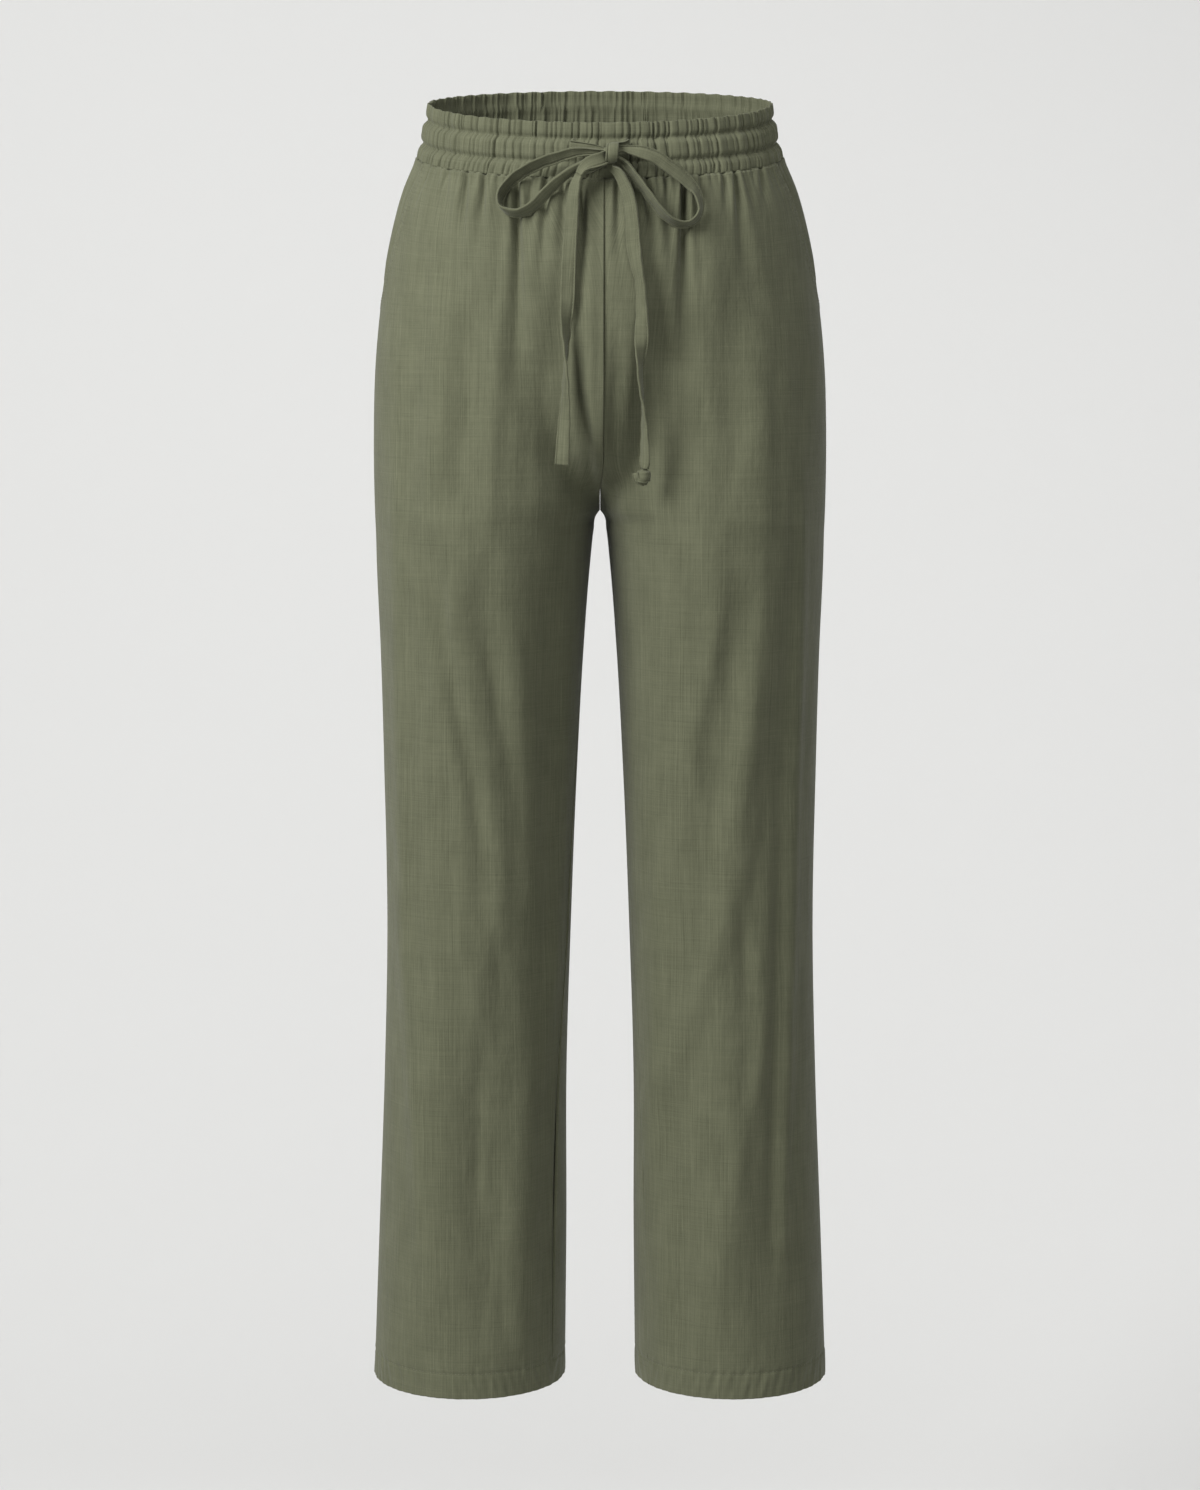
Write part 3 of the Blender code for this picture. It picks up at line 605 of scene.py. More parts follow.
def make_facing_sheet(hand, side, material):
    """The pocket facing: seen in the slanted opening, then going in under the front."""
    level_list = np.arange(WAIST_SEAM - GAP / 2, FACING_END, -0.0013)
    opening = pocket_edge(level_list)
    start = np.full(len(level_list), SHEET_EDGE)
    end = opening + POCKET_LAP / 90
    u = edge_columns(start, end, FACING_COLUMNS)
    level = level_list[:, None] * np.ones(u.shape[1])
    share = u / np.maximum(opening, 0.01)[:, None]
    sink = FACING_SINK * np.maximum(smoothstep(0, 1, share), smoothstep(-0.110, -0.128, level))
    open_rows = smoothstep(-0.134, -0.095, level) * smoothstep(-0.019, -0.034, level)
    sink += open_rows * GAPE[side] * smoothstep(0.74, 0.86, share)
    sink -= open_rows * 0.0012 * np.sin(np.pi * np.clip(share / 0.74, 0, 1))
    points, normal = cloth_point("front", side, u, level, -sink)
    grid = turned_edges(*tucked_top(points, normal), right=False)
    uv = cloth_uv(grid)
    grid[..., 0] *= side
    if side < 0:
        grid, uv = grid[:, ::-1], uv[:, ::-1] * (-1, 1)
    made = grid_object(f"pocket_facing_cloth_{hand}", grid, uv)
    return finish_piece(made, material, "linen", f"pocket_facing_{hand}")


# ---------------------------------------------------------------- waistband
# The band's section, from its upper edge down. crease is the share of its creases' full depth.
BAND_END = 0.0418  # drop of its lower edge
BandRow = namedtuple("BandRow", "drop bulge wall crease")
BAND = [
    BandRow(0.0000, 0.0006, 0.0012, 1.00),
    BandRow(0.0030, 0.0012, 0.0014, 1.00),
    BandRow(0.0090, 0.0014, 0.0016, 0.95),
    BandRow(0.0122, 0.0001, 0.0012, 0.70),
    BandRow(0.0150, 0.0032, 0.0030, 0.85),
    BandRow(0.0210, 0.0050, 0.0042, 1.00),
    BandRow(0.0268, 0.0052, 0.0034, 0.90),
    BandRow(0.0296, 0.0038, 0.0012, 0.70),
    BandRow(0.0330, 0.0070, 0.0026, 0.90),
    BandRow(0.0385, 0.0088, 0.0026, 1.00),
    BandRow(BAND_END, 0.0092, 0.0016, 0.80),
]
BAND_STITCH_ROWS = (0.0122, 0.0296)
# Where the band's creases lie, as an angle from their place at the rim: they zigzag from row to row
Zigzag = namedtuple("Zigzag", "drop shift")
BAND_ZIGZAG = [
    Zigzag(0.0000, 0.000),
    Zigzag(0.0100, 0.002),
    Zigzag(0.0150, 0.012),
    Zigzag(0.0270, 0.011),
    Zigzag(0.0320, 0.018),
    Zigzag(BAND_END, BAND_SLANT_END),
]
BAND_CREASE_WIDTH = 0.0058
BAND_CREASE_DEPTH = 0.0038


def band_creases(angle, drop):
    """Depth of the waistband's creases, from 0 between them to 1 in the deepest."""
    rng = np.random.default_rng(5)
    depth = np.zeros(angle.shape)
    zigzag = along(BAND_ZIGZAG, "drop", "shift", drop)
    second = smoothstep(0.0110, 0.0135, drop)
    third = smoothstep(0.0285, 0.0310, drop)
    for gather in ALL_GATHERS:
        own = rng.normal(0, 0.008, 3)
        share = gather.strength * rng.uniform(0.35, 1.0, 3)
        width = BAND_CREASE_WIDTH * rng.uniform(0.75, 1.5)
        slant = rng.uniform(0.35, 1.0)
        place = own[0] + (own[1] - own[0]) * second + (own[2] - own[1]) * third
        size = share[0] + (share[1] - share[0]) * second + (share[2] - share[1]) * third
        near = np.abs(around(angle[0] - gather.angle)) < 0.12
        off = around(angle[:, near] - gather.angle - place[:, near] - slant * zigzag[:, near])
        depth[:, near] += size[:, near] * np.exp(-((off / width) ** 2))
    return np.minimum(depth, 1.15)


def band_surface(angle, drop, inside=False, out=0.0):
    """Points on the waistband's outer or inner face. angle and drop are grids."""
    bulge = along(BAND, "drop", "bulge", drop)
    wall = along(BAND, "drop", "wall", drop)
    share = along(BAND, "drop", "crease", drop)
    depth = band_creases(angle, drop)
    puff = 0.0005 * np.sin(angle * 31 + 1.3 * np.sin(angle * 9)) + 0.0003 * np.sin(angle * 67 + drop * 90)
    offset = bulge + puff - BAND_CREASE_DEPTH * share * depth + out
    if inside:
        softened = depth - 0.5 * np.roll(depth, 5, axis=1)
        offset = bulge + puff - wall - BAND_CREASE_DEPTH * share * 0.6 * softened
    front = np.sin(angle) > 0
    reach = np.where(front, RIM_FRONT, RIM_BACK)
    tilt = np.where(front, -TILT_FRONT, -TILT_BACK) * np.sin(angle)
    rim = np.exp(-drop / 0.002) * (0.0003 * np.sin(angle * 53) - 0.0004 * depth)
    x = (RIM_HALF + offset) * np.cos(angle)
    y = -(reach + offset) * np.sin(angle)
    z = RIM_LEVEL - drop + tilt + rim
    return np.stack([x, y, z], axis=-1)


def make_waistband(material):
    """The gathered waistband: a frill, the drawstring's casing and a lower row."""
    turn = np.linspace(0, 2 * np.pi, BAND_COLUMNS, endpoint=False)
    outer = band_surface(*np.meshgrid(turn, np.linspace(0, BAND_END, 34)))
    inner = band_surface(*np.meshgrid(turn, np.linspace(0, BAND_END, 14)), inside=True)
    step = (outer[0] - inner[0]) / 2
    middle = (outer[0] + inner[0]) / 2
    up = np.array([0, 0, 0.0006])
    rim = [middle - step * np.cos(a) + up * np.sin(a) for a in np.radians([45, 90, 135])]
    low_step = (outer[-1] - inner[-1]) / 2
    low_middle = (outer[-1] + inner[-1]) / 2
    low = [low_middle + low_step * np.cos(a) - up * 0.4 * np.sin(a) for a in np.radians([60, 120])]
    grid = np.concatenate([inner[::-1], rim, outer, low, inner[-1:]])
    rows = np.concatenate([[0], np.cumsum(np.linalg.norm(np.diff(grid, axis=0), axis=2).mean(axis=1))])
    girth = np.linspace(0, 0.9, BAND_COLUMNS, endpoint=False)
    uv = np.stack(np.meshgrid(girth, -rows), axis=-1)
    made = grid_object("waistband_cloth", grid, uv, ring=True)
    return finish_piece(made, material, "linen", "waistband")


# ---------------------------------------------------------------- drawstring
TAPE_WIDTH = 0.0112
TAPE_THICK = 0.0018
Route = namedtuple("Route", "x y z roll share")
TAPES = {
    "drawstring_lead_right": [
        Route(-0.0228, -0.0929, -0.0142, 0, 0.80),
        Route(-0.0140, -0.0955, -0.0150, 0, 0.70),
        Route(-0.0018, -0.0990, -0.0161, 0, 0.42),
    ],
    "drawstring_lead_left": [
        Route(0.0222, -0.0924, -0.0115, 12, 0.46),
        Route(0.0185, -0.0960, -0.0128, 15, 0.42),
        Route(0.0135, -0.0995, -0.0136, 15, 0.38),
    ],
    "drawstring_loop_right": [
        Route(-0.0062, -0.1040, -0.0185, 20, 0.42),
        Route(-0.0180, -0.1050, -0.0188, 30, 0.70),
        Route(-0.0334, -0.1040, -0.0230, 36, 0.90),
        Route(-0.0450, -0.1022, -0.0268, 40, 0.95),
        Route(-0.0546, -0.1000, -0.0313, 44, 1.0),
        Route(-0.0650, -0.0980, -0.0378, 46, 1.0),
        Route(-0.0725, -0.0965, -0.0450, 52, 1.0),
        Route(-0.0770, -0.0970, -0.0538, 62, 1.0),
        Route(-0.0765, -0.0992, -0.0590, 80, 1.0),
        Route(-0.0720, -0.1012, -0.0632, 104, 1.0),
        Route(-0.0630, -0.1038, -0.0651, 124, 1.0),
        Route(-0.0560, -0.1055, -0.0630, 130, 1.0),
        Route(-0.0494, -0.1068, -0.0583, 134, 1.0),
        Route(-0.0387, -0.1064, -0.0475, 136, 1.0),
        Route(-0.0250, -0.1052, -0.0355, 138, 0.75),
        Route(-0.0108, -0.1035, -0.0268, 150, 0.42),
    ],
    "drawstring_loop_left": [
        Route(0.0168, -0.1035, -0.0172, 30, 0.42),
        Route(0.0250, -0.1035, -0.0180, 24, 0.75),
        Route(0.0350, -0.1030, -0.0200, 18, 0.92),
        Route(0.0440, -0.1015, -0.0237, 14, 0.95),
        Route(0.0516, -0.1000, -0.0290, 14, 0.95),
        Route(0.0600, -0.0985, -0.0350, 22, 1.0),
        Route(0.0675, -0.0972, -0.0418, 36, 1.0),
        Route(0.0730, -0.0970, -0.0480, 54, 1.0),
        Route(0.0758, -0.0978, -0.0550, 66, 1.0),
        Route(0.0764, -0.0990, -0.0630, 70, 1.0),
        Route(0.0740, -0.1008, -0.0685, 70, 1.0),
        Route(0.0690, -0.1025, -0.0722, 68, 1.0),
        Route(0.0623, -0.1045, -0.0733, 66, 1.0),
        Route(0.0560, -0.1062, -0.0713, 64, 1.0),
        Route(0.0501, -0.1075, -0.0673, 62, 1.0),
        Route(0.0410, -0.1075, -0.0568, 60, 1.0),
        Route(0.0310, -0.1058, -0.0430, 56, 0.85),
        Route(0.0154, -0.1035, -0.0245, 45, 0.42),
    ],
    "drawstring_tail_right": [
        Route(-0.0056, -0.1052, -0.0317, -20, 0.45),
        Route(-0.0125, -0.1092, -0.0336, -45, 0.65),
        Route(-0.0165, -0.1112, -0.0385, -52, 0.85),
        Route(-0.0188, -0.1118, -0.0450, -46, 1.0),
        Route(-0.0203, -0.1124, -0.0560, -36, 1.0),
        Route(-0.0213, -0.1138, -0.0690, -28, 1.0),
        Route(-0.0230, -0.1155, -0.0910, -16, 1.0),
        Route(-0.0241, -0.1170, -0.1130, 0, 1.0),
        Route(-0.0248, -0.1182, -0.1310, 8, 1.0),
        Route(-0.0261, -0.1190, -0.1458, 40, 1.0),
        Route(-0.0263, -0.1192, -0.1610, 66, 1.0),
        Route(-0.0263, -0.1192, -0.1760, 88, 1.0),
        Route(-0.0264, -0.1190, -0.1880, 106, 1.0),
        Route(-0.0266, -0.1185, -0.2010, 118, 1.0),
        Route(-0.0270, -0.1178, -0.2160, 134, 1.0),
        Route(-0.0280, -0.1168, -0.2340, 150, 1.0),
        Route(-0.0292, -0.1155, -0.2560, 168, 1.0),
    ],
    "drawstring_tail_left": [
        Route(0.0086, -0.1042, -0.0303, -25, 0.45),
        Route(0.0135, -0.1062, -0.0345, -38, 0.75),
        Route(0.0185, -0.1080, -0.0438, -38, 1.0),
        Route(0.0222, -0.1092, -0.0540, -34, 1.0),
        Route(0.0242, -0.1115, -0.0680, -28, 1.0),
        Route(0.0256, -0.1155, -0.0900, -14, 1.0),
        Route(0.0278, -0.1188, -0.1040, -38, 1.0),
        Route(0.0305, -0.1206, -0.1170, -52, 1.0),
        Route(0.0316, -0.1210, -0.1310, -44, 1.0),
        Route(0.0320, -0.1208, -0.1460, -30, 1.0),
        Route(0.0316, -0.1206, -0.1610, 4, 1.0),
        Route(0.0307, -0.1206, -0.1730, 50, 1.0),
        Route(0.0304, -0.1204, -0.1850, 68, 1.0),
        Route(0.0315, -0.1200, -0.1980, 74, 1.0),
        Route(0.0330, -0.1192, -0.2130, 92, 1.0),
        Route(0.0338, -0.1182, -0.2270, 108, 1.0),
        Route(0.0341, -0.1172, -0.2410, 118, 1.0),
        Route(0.0340, -0.1160, -0.2560, 130, 0.85),
        Route(0.0338, -0.1156, -0.2590, 132, 0.6),
    ],
}


def smooth_route(points, step):
    """Evenly spaced stations (x, y, z, roll, share) on a smooth curve through the route's points."""
    rows = np.array(points, dtype=float)
    place = length_along(rows[:, :3])
    slope = np.gradient(rows, place, axis=0)
    stations = np.linspace(0, place[-1], max(4, round(place[-1] / step) + 1))
    i = np.clip(np.searchsorted(place, stations) - 1, 0, len(place) - 2)
    gap = (place[i + 1] - place[i])[:, None]
    t = (stations - place[i])[:, None] / gap
    return curve_between(rows, slope, i, t, gap)


def unit(vectors):
    """Vectors brought to length 1."""
    return vectors / np.linalg.norm(vectors, axis=-1, keepdims=True)


def tape_frame(stations, width_axis=None):
    """Path, width direction and flat side's direction of a tape at its stations."""
    path = stations[:, :3]
    ahead = unit(np.gradient(path, axis=0))
    roll = np.radians(stations[:, 3])[:, None]
    if width_axis is None:
        across = unit(np.cross(ahead, np.array([0, -1.0, 0])))
    else:
        axis = np.array(width_axis)
        across = unit(axis - ahead * (ahead @ axis)[:, None])
    outward = np.cross(across, ahead)
    wide = across * np.cos(roll) + outward * np.sin(roll)
    flat = outward * np.cos(roll) - across * np.sin(roll)
    return path, wide, flat


def tape_section():
    """Points of the tape's section: a folded band, raised along its edges where it is stitched."""
    side = np.array([-1.0, -0.97, -0.88, -0.78, -0.72, -0.66, -0.35, 0.0, 0.35, 0.66, 0.80, 0.92, 1.0])
    thick = np.array([0.30, 1.15, 1.45, 1.25, 0.35, 0.75, 0.90, 0.95, 0.92, 0.95, 1.05, 0.90, 0.25])
    return list(zip(side, thick)) + [(a, -b) for a, b in zip(side[::-1], thick[::-1])]


TAPE_STITCH = 0.72  # where its stitches run, from 0 at the middle to 1 at the edge
STITCH_LINES = {}


def sweep_tape(name, points, material, node, width_axis=None, thick=TAPE_THICK, width=TAPE_WIDTH):
    """A flat stitched tape, swept along its route and closed at both ends."""
    stations = smooth_route(points, 0.0011)
    path, wide, flat = tape_frame(stations, width_axis)
    share = stations[:, 4][:, None]
    plump = thick / 2 * (1 + 0.8 * (1 - share))
    length = length_along(path)
    wave = 0.00025 * np.sin(length * 420 + len(points))[:, None]
    cup = 0.0006 * (1 + 2.2 * (1 - share))
    ring = []
    for a, b in tape_section():
        bent = cup * (a * a - 0.4) + wave * a
        ring.append(path + wide * a * share * width / 2 + flat * (b * plump + bent))
    grid = np.stack(ring, axis=1)
    round_it = np.linspace(0, 2 * width, grid.shape[1], endpoint=False)
    uv = np.stack(np.meshgrid(round_it, -length), axis=-1)
    made = grid_object(name, grid, uv, ring=True)
    close_ends(made)
    depth = plump * 0.55 + cup * (TAPE_STITCH**2 - 0.4)
    groove = path - wide * TAPE_STITCH * share * width / 2 + flat * depth
    STITCH_LINES.setdefault(node, []).append((groove, flat))
    return finish_piece(made, material, "linen_tape", node)


def close_ends(made):
    """Fills the open ends of a swept tape."""
    shell = bmesh.new()
    shell.from_mesh(made.data)
    bmesh.ops.holes_fill(shell, edges=[e for e in shell.edges if e.is_boundary], sides=0)
    bmesh.ops.recalc_face_normals(shell, faces=shell.faces)
    shell.to_mesh(made.data)
    shell.free()


# The tapes start inside the knot: these points come before or after the solids' routes.
KNOT_HEART = {
    "drawstring_lead_right": (None, Route(0.0050, -0.1020, -0.0190, 0, 0.40)),
    "drawstring_lead_left": (None, Route(0.0085, -0.1020, -0.0160, 15, 0.36)),
    "drawstring_loop_right": (
        Route(0.0050, -0.1040, -0.0200, 10, 0.45),
        Route(0.0030, -0.1040, -0.0215, 150, 0.40),
    ),
    "drawstring_loop_left": (
        Route(0.0090, -0.1040, -0.0190, 30, 0.45),
        Route(0.0070, -0.1035, -0.0215, 40, 0.40),
    ),
    "drawstring_tail_right": (Route(0.0050, -0.1075, -0.0235, 0, 0.78), None),
    "drawstring_tail_left": (Route(0.0075, -0.1030, -0.0225, -15, 0.40), None),
}
WRAP = [  # round the knot, over its front from top to bottom
    Route(0.0092, -0.0990, -0.0150, 0, 0.76),
    Route(0.0096, -0.1035, -0.0130, 0, 0.80),
    Route(0.0097, -0.1085, -0.0140, 0, 0.84),
    Route(0.0094, -0.1120, -0.0175, 0, 0.84),
    Route(0.0090, -0.1124, -0.0215, 0, 0.84),
    Route(0.0086, -0.1100, -0.0250, 0, 0.82),
    Route(0.0084, -0.1045, -0.0265, 0, 0.80),
    Route(0.0084, -0.0990, -0.0250, 0, 0.78),
]
LOBE = [  # the broad fold that comes out from under the wrap and runs into the right tail
    Route(0.0060, -0.1050, -0.0222, 0, 0.80),
    Route(0.0018, -0.1106, -0.0243, 0, 0.92),
    Route(-0.0036, -0.1126, -0.0260, 0, 0.94),
    Route(-0.0088, -0.1128, -0.0280, -12, 0.86),
    Route(-0.0130, -0.1124, -0.0316, -30, 0.74),
    Route(-0.0156, -0.1118, -0.0362, -46, 0.72),
]
END_WRAP = [  # round the end knot, from its left over its front to its right
    Route(0.0296, -0.1130, -0.2635, 0, 0.60),
    Route(0.0290, -0.1162, -0.2640, 0, 0.70),
    Route(0.0310, -0.1192, -0.2650, 0, 0.80),
    Route(0.0345, -0.1196, -0.2652, 0, 0.80),
    Route(0.0370, -0.1172, -0.2648, 0, 0.72),
    Route(0.0374, -0.1138, -0.2640, 0, 0.62),
    Route(0.0348, -0.1112, -0.2636, 0, 0.58),
]
END_EAR = [  # the tape's cut end, which sticks out beside the knot
    Route(0.0330, -0.1160, -0.2690, 0, 0.50),
    Route(0.0300, -0.1172, -0.2680, 20, 0.52),
    Route(0.0280, -0.1178, -0.2650, 30, 0.52),
    Route(0.0274, -0.1176, -0.2620, 35, 0.48),
]
Ball = namedtuple("Ball", "x y z wide deep high lean")
KNOT_CORE = Ball(0.0062, -0.1020, -0.0203, 0.0150, 0.0120, 0.0098, -15)
END_CORE = Ball(0.0334, -0.1155, -0.2655, 0.0090, 0.0080, 0.0125, 0)


def make_ball(name, ball, material, node):
    """A crumpled core that fills a knot behind its wraps."""
    shell = bmesh.new()
    bmesh.ops.create_uvsphere(shell, u_segments=40, v_segments=24, radius=0.5)
    lean = math.radians(ball.lean)
    for vert in shell.verts:
        rough = 1 + 0.06 * math.sin(vert.co.x * 19 + vert.co.z * 7)
        rough += 0.05 * math.sin(vert.co.y * 23 - vert.co.z * 13)
        x, y, z = vert.co.x * ball.wide * rough, vert.co.y * ball.deep * rough, vert.co.z * ball.high * rough
        turned = (x * math.cos(lean) + z * math.sin(lean), y, z * math.cos(lean) - x * math.sin(lean))
        vert.co = Vector((ball.x, ball.y, ball.z)) + Vector(turned)
    mesh = bpy.data.meshes.new(name)
    layer = shell.loops.layers.uv.new("cloth")
    for face in shell.faces:
        for loop in face.loops:
            loop[layer].uv = (loop.vert.co.x, loop.vert.co.z)
    shell.to_mesh(mesh)
    shell.free()
    return finish_piece(linked(name, mesh), material, "linen_tape", node)


def make_drawstring(material, thread):
    """The tied drawstring: leads, loops, tails and the two knots, all one flat tape."""
    tapes, routes = {}, {}
    for name, points in TAPES.items():
        before, after = KNOT_HEART[name]
        route = ([before] if before else []) + points + ([after] if after else [])
        routes[name] = route
        tapes[name] = sweep_tape(name.replace("drawstring", "tape"), route, material, name)
    knot = [
        sweep_tape("knot_wrap", WRAP, material, "drawstring_knot", (1, 0, 0.12)),
        sweep_tape("knot_lobe", LOBE, material, "drawstring_knot"),
        make_ball("knot_core", KNOT_CORE, material, "drawstring_knot"),
    ]
    end_knot = [
        sweep_tape("end_knot_wrap", END_WRAP, material, "drawstring_end_knot", (0.1, 0, 1)),
        sweep_tape("end_knot_ear", END_EAR, material, "drawstring_end_knot"),
        make_ball("end_knot_core", END_CORE, material, "drawstring_end_knot"),
    ]
    sewn = {}
    for name, lines in STITCH_LINES.items():
        stitch_name = name.replace("drawstring", "stitches")
        sewn[name] = make_stitches(stitch_name, lines, thread, [name], TAPE_STITCHING)
    knot += [sewn["drawstring_knot"], tapes["drawstring_lead_right"], tapes["drawstring_lead_left"]]
    knot += [sewn["drawstring_lead_right"], sewn["drawstring_lead_left"]]
    end_knot.append(sewn["drawstring_end_knot"])


# ---------------------------------------------------------------- stitching
Stitching = namedtuple("Stitching", "length gap radius")
CLOTH_STITCHING = Stitching(0.0023, 0.0008, 0.00025)
TAPE_STITCHING = Stitching(0.0020, 0.0007, 0.00022)
BAR_STITCHING = Stitching(0.0018, 0.0001, 0.00022)


def read_along(stations, place, rows):
    """Rows of three values, read at stations along a line."""
    return np.stack([np.interp(stations, place, rows[:, k]) for k in range(3)], axis=1)


def make_stitches(name, lines, material, nodes, kind=CLOTH_STITCHING):
    """Thread stitches along lines on the cloth; a line is its points and their outward directions."""
    swell = np.array([0.45, 0.95, 1.0, 0.95, 0.45])
    lift = np.array([-0.9, 0.2, 0.45, 0.2, -0.9])
    turn = np.radians([0, 90, 180, 270])
    stitches = []
    for points, normal in lines:
        place = length_along(points)
        count = max(1, round(place[-1] / (kind.length + kind.gap)))
        middle = (np.arange(count) + 0.5) * place[-1] / count
        span = min(kind.length, place[-1] / count)
        stations = (middle[:, None] + span * np.linspace(-0.5, 0.5, 5)).ravel()
        centre = read_along(stations, place, points).reshape(count, 5, 3)
        out = unit(read_along(stations, place, normal)).reshape(count, 5, 3)
        ahead = unit(centre[:, -1] - centre[:, 0])[:, None]
        across = unit(np.cross(ahead, out))
        out = np.cross(across, ahead)
        centre = centre + out * (lift * kind.radius)[:, None]
        around_it = [(across * np.cos(a) + out * np.sin(a)) * (swell * kind.radius)[:, None] for a in turn]
        stitches.append(np.stack([centre + ring for ring in around_it], axis=2).reshape(count, 20, 3))
    verts = np.concatenate(stitches)
    ring, corner = np.meshgrid(np.arange(4), np.arange(4), indexing="ij")
    near, after = ring * 4 + corner, ring * 4 + (corner + 1) % 4
    quads = np.stack([near, after, after + 4, near + 4], axis=-1).reshape(-1, 4)
    faces = (quads[None] + 20 * np.arange(len(verts))[:, None, None]).reshape(-1, 4)
    points = verts.reshape(-1, 3)
    mesh = bpy.data.meshes.new(name)
    mesh.from_pydata(points, [], faces)
    layer = mesh.uv_layers.new(name="cloth")
    layer.uv.foreach_set("vector", points[faces.reshape(-1)][:, [0, 2]].reshape(-1).astype(np.float32))
    slot = "linen_tape" if nodes[0].startswith("drawstring") else "linen"
    return finish_piece(linked(name, mesh), material, slot, *nodes)


def cloth_line(face, side, u, level):
    """A line over a panel at these shares and levels, and its outward directions."""
    level = level + 0 * u
    out = front_lift(side, u, level) if face == "front" else 0
    points, normal = cloth_point(face, side, u, level, out)
    mirror = np.array([side, 1, 1])
    return points * mirror, normal * mirror


def front_share(side, x, level):
    """The share u of a front panel at which its cloth is at x."""
    return np.arccos(side * x / along(SECTIONS, "level", "outer", level)) / (np.pi / 2)


def band_line(angle, drop):
    """A line on the waistband's outside, and its outward directions."""
    grid = band_surface(np.atleast_2d(angle), np.atleast_2d(drop + 0 * angle))[0]
    return grid, np.stack([np.cos(angle), -np.sin(angle), 0 * angle], axis=1)


def make_all_stitches(thread):
    """Stitches of the hems, pockets, waistband, fly and buttonholes."""
    for side, hand in ((1, "left"), (-1, "right")):
        u = np.linspace(0.012, 0.988, 240)
        lines = [cloth_line(face, side, u, np.array(HEM_TOP)) for face in ("front", "back")]
        make_stitches(f"hem_stitches_{hand}", lines, thread, [f"front_{hand}", f"back_{hand}"])
        level = np.linspace(-0.0215, -0.134, 120)
        lines = [cloth_line("front", side, pocket_edge(level) + share, level) for share in (0.010, 0.044)]
        make_stitches(f"pocket_stitches_{hand}", lines, thread, [f"front_{hand}"])
        bars = []
        for drop in np.linspace(0, 0.0042, 9):
            u = np.linspace(0.003, 0.040, 6)
            bars.append(cloth_line("front", side, u, np.array(-0.1330 - drop)))
        make_stitches(f"pocket_bartack_{hand}", bars, thread, [f"front_{hand}"], BAR_STITCHING)
    angle = np.linspace(0, 2 * np.pi, 2400)
    lines = [band_line(angle, drop) for drop in BAND_STITCH_ROWS]
    make_stitches("waistband_stitches", lines, thread, ["waistband"])
    level = np.full(12, -0.0212)
    across = [(-1, np.linspace(-0.0085, 0.0024, 12)), (1, np.linspace(0.0036, 0.0115, 12))]
    lines = [cloth_line("front", side, front_share(side, x, level), level) for side, x in across]
    level = np.linspace(-0.0225, -0.0315, 12)
    lines.append(cloth_line("front", 1, front_share(1, 0.0090, level), level))
    make_stitches("fly_stitches", lines, thread, ["front_left", "front_right"])
    lines = []
    for centre in (np.pi / 2 - 0.150, np.pi / 2 + 0.150):
        for turn in np.linspace(0, 2 * np.pi, 26, endpoint=False):
            reach = np.linspace(0, 0.0016, 4)
            angle = centre + (0.0008 + reach) * np.cos(turn) / RIM_HALF
            drop = 0.0168 + (0.0042 + reach) * np.sin(turn)
            grid, normal = band_line(angle, drop)
            lines.append((grid + normal * 0.0004, normal))
    make_stitches("buttonhole_stitches", lines, thread, ["waistband"], BAR_STITCHING)


# ---------------------------------------------------------------- materials
def node(tree, kind, **values):
    """A shader node with these properties and input values."""
    made = tree.nodes.new(kind)
    for name, value in values.items():
        if name in made.inputs:
            made.inputs[name].default_value = value
        else:
            setattr(made, name, value)
    return made


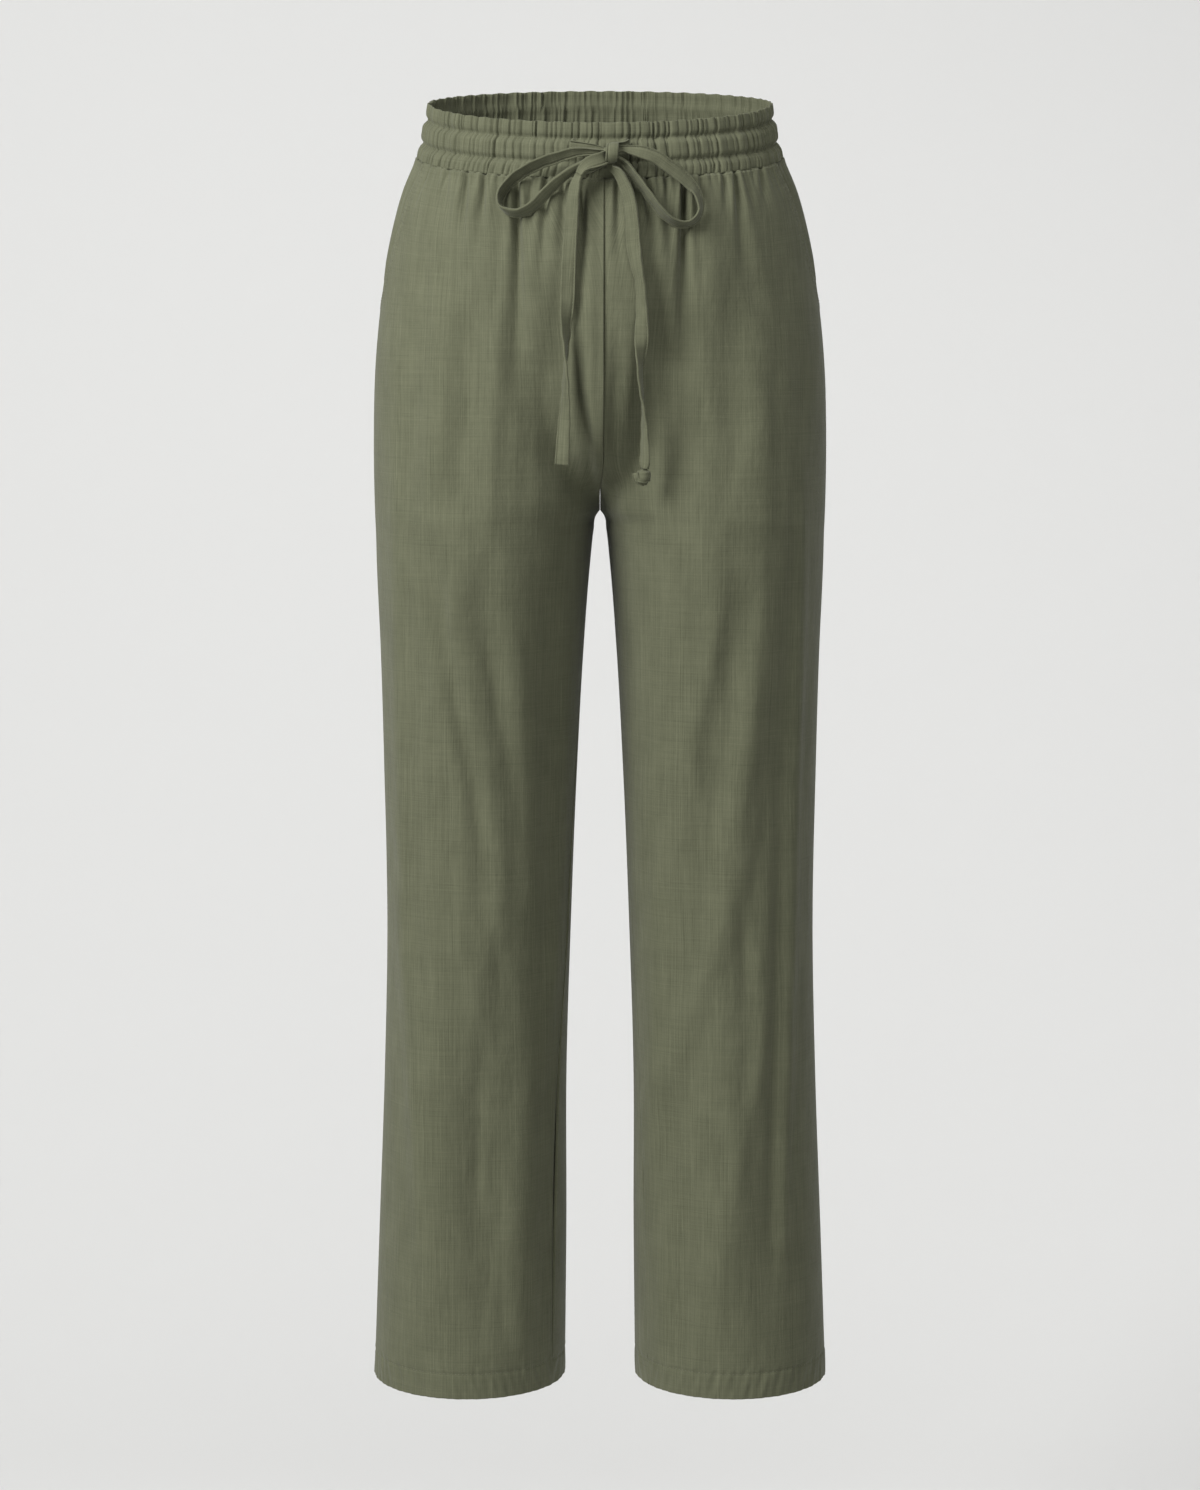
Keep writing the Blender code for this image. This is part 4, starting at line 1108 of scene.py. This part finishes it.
def linen(name, dark, light):
    """Plain-weave linen: threads of uneven thickness, slubs, faint mottling and a soft nap."""
    material = bpy.data.materials.new(name)
    material.use_nodes = True
    tree = material.node_tree
    link = tree.links.new
    shader = tree.nodes["Principled BSDF"]
    shader.inputs["Roughness"].default_value = 0.88
    shader.inputs["Specular IOR Level"].default_value = 0.25
    shader.inputs["Sheen Weight"].default_value = 0.10
    shader.inputs["Sheen Roughness"].default_value = 0.45
    uv = node(tree, "ShaderNodeUVMap", uv_map="cloth")

    def noise(scale, detail, roughness=0.6, vector=None):
        mapping = node(tree, "ShaderNodeMapping")
        mapping.inputs["Scale"].default_value = (*scale, 1)
        link(vector or uv.outputs["UV"], mapping.inputs["Vector"])
        made = node(tree, "ShaderNodeTexNoise", Scale=1.0, Detail=detail, Roughness=roughness)
        link(mapping.outputs["Vector"], made.inputs["Vector"])
        return made.outputs["Fac"]

    def maths(operation, a, b):
        made = node(tree, "ShaderNodeMath", operation=operation)
        for socket, value in zip(made.inputs, (a, b)):
            if isinstance(value, (int, float)):
                socket.default_value = value
            else:
                link(value, socket)
        return made.outputs["Value"]

    def shifted(across, down):
        """The UV with each thread slid along itself by an amount of its own."""
        combine = node(tree, "ShaderNodeCombineXYZ")
        for axis, scale, reach in (("X", (2, 900), across), ("Y", (900, 2), down)):
            if reach:
                link(maths("MULTIPLY", noise(scale, 0), reach), combine.inputs[axis])
        add = node(tree, "ShaderNodeVectorMath", operation="ADD")
        link(uv.outputs["UV"], add.inputs[0])
        link(combine.outputs["Vector"], add.inputs[1])
        return add.outputs["Vector"]

    down, across = shifted(0, 0.5), shifted(0.5, 0)
    warp = noise((1500, 36), 2, vector=down)
    weft = noise((36, 1400), 2, vector=across)
    warp_slub = noise((700, 20), 2, vector=down)
    weft_slub = noise((16, 800), 2, vector=across)
    mottle = noise((38, 26), 4)
    fine = maths("ADD", maths("MULTIPLY", warp, 0.30), maths("MULTIPLY", weft, 0.22))
    slubs = maths("ADD", maths("MULTIPLY", warp_slub, 0.28), maths("MULTIPLY", weft_slub, 0.08))
    threads = maths("ADD", fine, slubs)
    tone = maths("ADD", threads, maths("MULTIPLY", mottle, 0.12))
    ramp = node(tree, "ShaderNodeValToRGB")
    ramp.color_ramp.elements[0].position = 0.38
    ramp.color_ramp.elements[0].color = (*dark, 1)
    ramp.color_ramp.elements[1].position = 0.62
    ramp.color_ramp.elements[1].color = (*light, 1)
    link(tone, ramp.inputs["Fac"])
    link(ramp.outputs["Color"], shader.inputs["Base Color"])
    crumple = noise((150, 60), 5, 0.62)
    rumple = noise((46, 22), 3, 0.5)
    soft = maths("ADD", maths("MULTIPLY", crumple, 1.1), maths("MULTIPLY", rumple, 2.2))
    height = maths("ADD", maths("MULTIPLY", threads, 0.40), soft)
    bump = node(tree, "ShaderNodeBump", Strength=0.6, Distance=0.0009)
    link(height, bump.inputs["Height"])
    link(bump.outputs["Normal"], shader.inputs["Normal"])
    return material


def plain(name, colour):
    """A plain matt material for the floor."""
    material = bpy.data.materials.new(name)
    material.use_nodes = True
    shader = material.node_tree.nodes["Principled BSDF"]
    shader.inputs["Base Color"].default_value = (*colour, 1)
    shader.inputs["Roughness"].default_value = 0.9
    shader.inputs["Specular IOR Level"].default_value = 0.1
    return material


# ---------------------------------------------------------------- studio
def make_floor():
    """A pale floor that curves up into a backdrop behind the trousers."""
    profile = [(-6.0, -1.45), (1.2, -1.45)]
    profile += [(1.2 + 1.2 * math.sin(a), -0.25 - 1.2 * math.cos(a)) for a in np.radians(range(10, 91, 10))]
    profile += [(2.4, 4.0)]
    points = np.array([[(x, y, z) for x in (-7.0, 7.0)] for y, z in profile])
    uv = np.zeros(points.shape[:2] + (2,))
    made = grid_object("floor", points, uv)
    made.data.materials.append(plain("floor", (0.72, 0.72, 0.71)))


def area_light(name, place, target, size, power):
    """A square soft light at place, pointing at target."""
    data = bpy.data.lights.new(name, "AREA")
    data.size = size
    data.energy = power
    made = bpy.data.objects.new(name, data)
    made.location = place
    made.rotation_euler = (Vector(target) - Vector(place)).to_track_quat("-Z", "Y").to_euler()
    made.visible_camera = False
    bpy.context.scene.collection.objects.link(made)


def make_studio():
    """Floor, soft lights from the front left, and the camera at hip height."""
    make_floor()
    area_light("key", (-1.9, -1.7, 1.25), (0, 0, -0.2), 1.5, 126)
    area_light("fill", (2.6, -2.3, 0.9), (0, 0, -0.3), 2.0, 23)
    area_light("top", (0.3, -1.0, 1.9), (0, 0, -0.1), 1.4, 19)
    area_light("backdrop_left", (-1.1, 0.5, -0.3), (-1.1, 2.4, -0.9), 0.8, 2.5)
    area_light("backdrop_right", (1.1, 0.5, -0.3), (1.1, 2.4, -0.9), 0.8, 7)
    world = bpy.data.worlds.new("studio")
    world.use_nodes = True
    world.node_tree.nodes["Background"].inputs["Color"].default_value = (1, 1, 1, 1)
    world.node_tree.nodes["Background"].inputs["Strength"].default_value = 0.20
    bpy.context.scene.world = world
    bpy.context.scene.view_settings.view_transform = "Standard"
    camera = bpy.data.objects.new("camera", bpy.data.cameras.new("camera"))
    camera.data.lens = 91
    camera.location = (0, -3.0, -0.135)
    camera.rotation_euler = (Vector((0, 0, -0.485)) - camera.location).to_track_quat("-Z", "Y").to_euler()
    bpy.context.scene.collection.objects.link(camera)
    bpy.context.scene.camera = camera


# ---------------------------------------------------------------- assembly
def main():
    make_studio()
    cloth = linen("linen", LINEN_DARK, LINEN_LIGHT)
    tape = linen("linen_tape", LINEN_DARK, LINEN_LIGHT)
    thread = linen("thread", THREAD_DARK, THREAD_LIGHT)
    make_drawstring(tape, thread)
    for side, hand in ((1, "left"), (-1, "right")):
        for face in ("front", "back"):
            make_panel_sheet(face, hand, side, cloth)
        make_facing_sheet(hand, side, cloth)
    make_waistband(cloth)
    make_all_stitches(thread)


main()
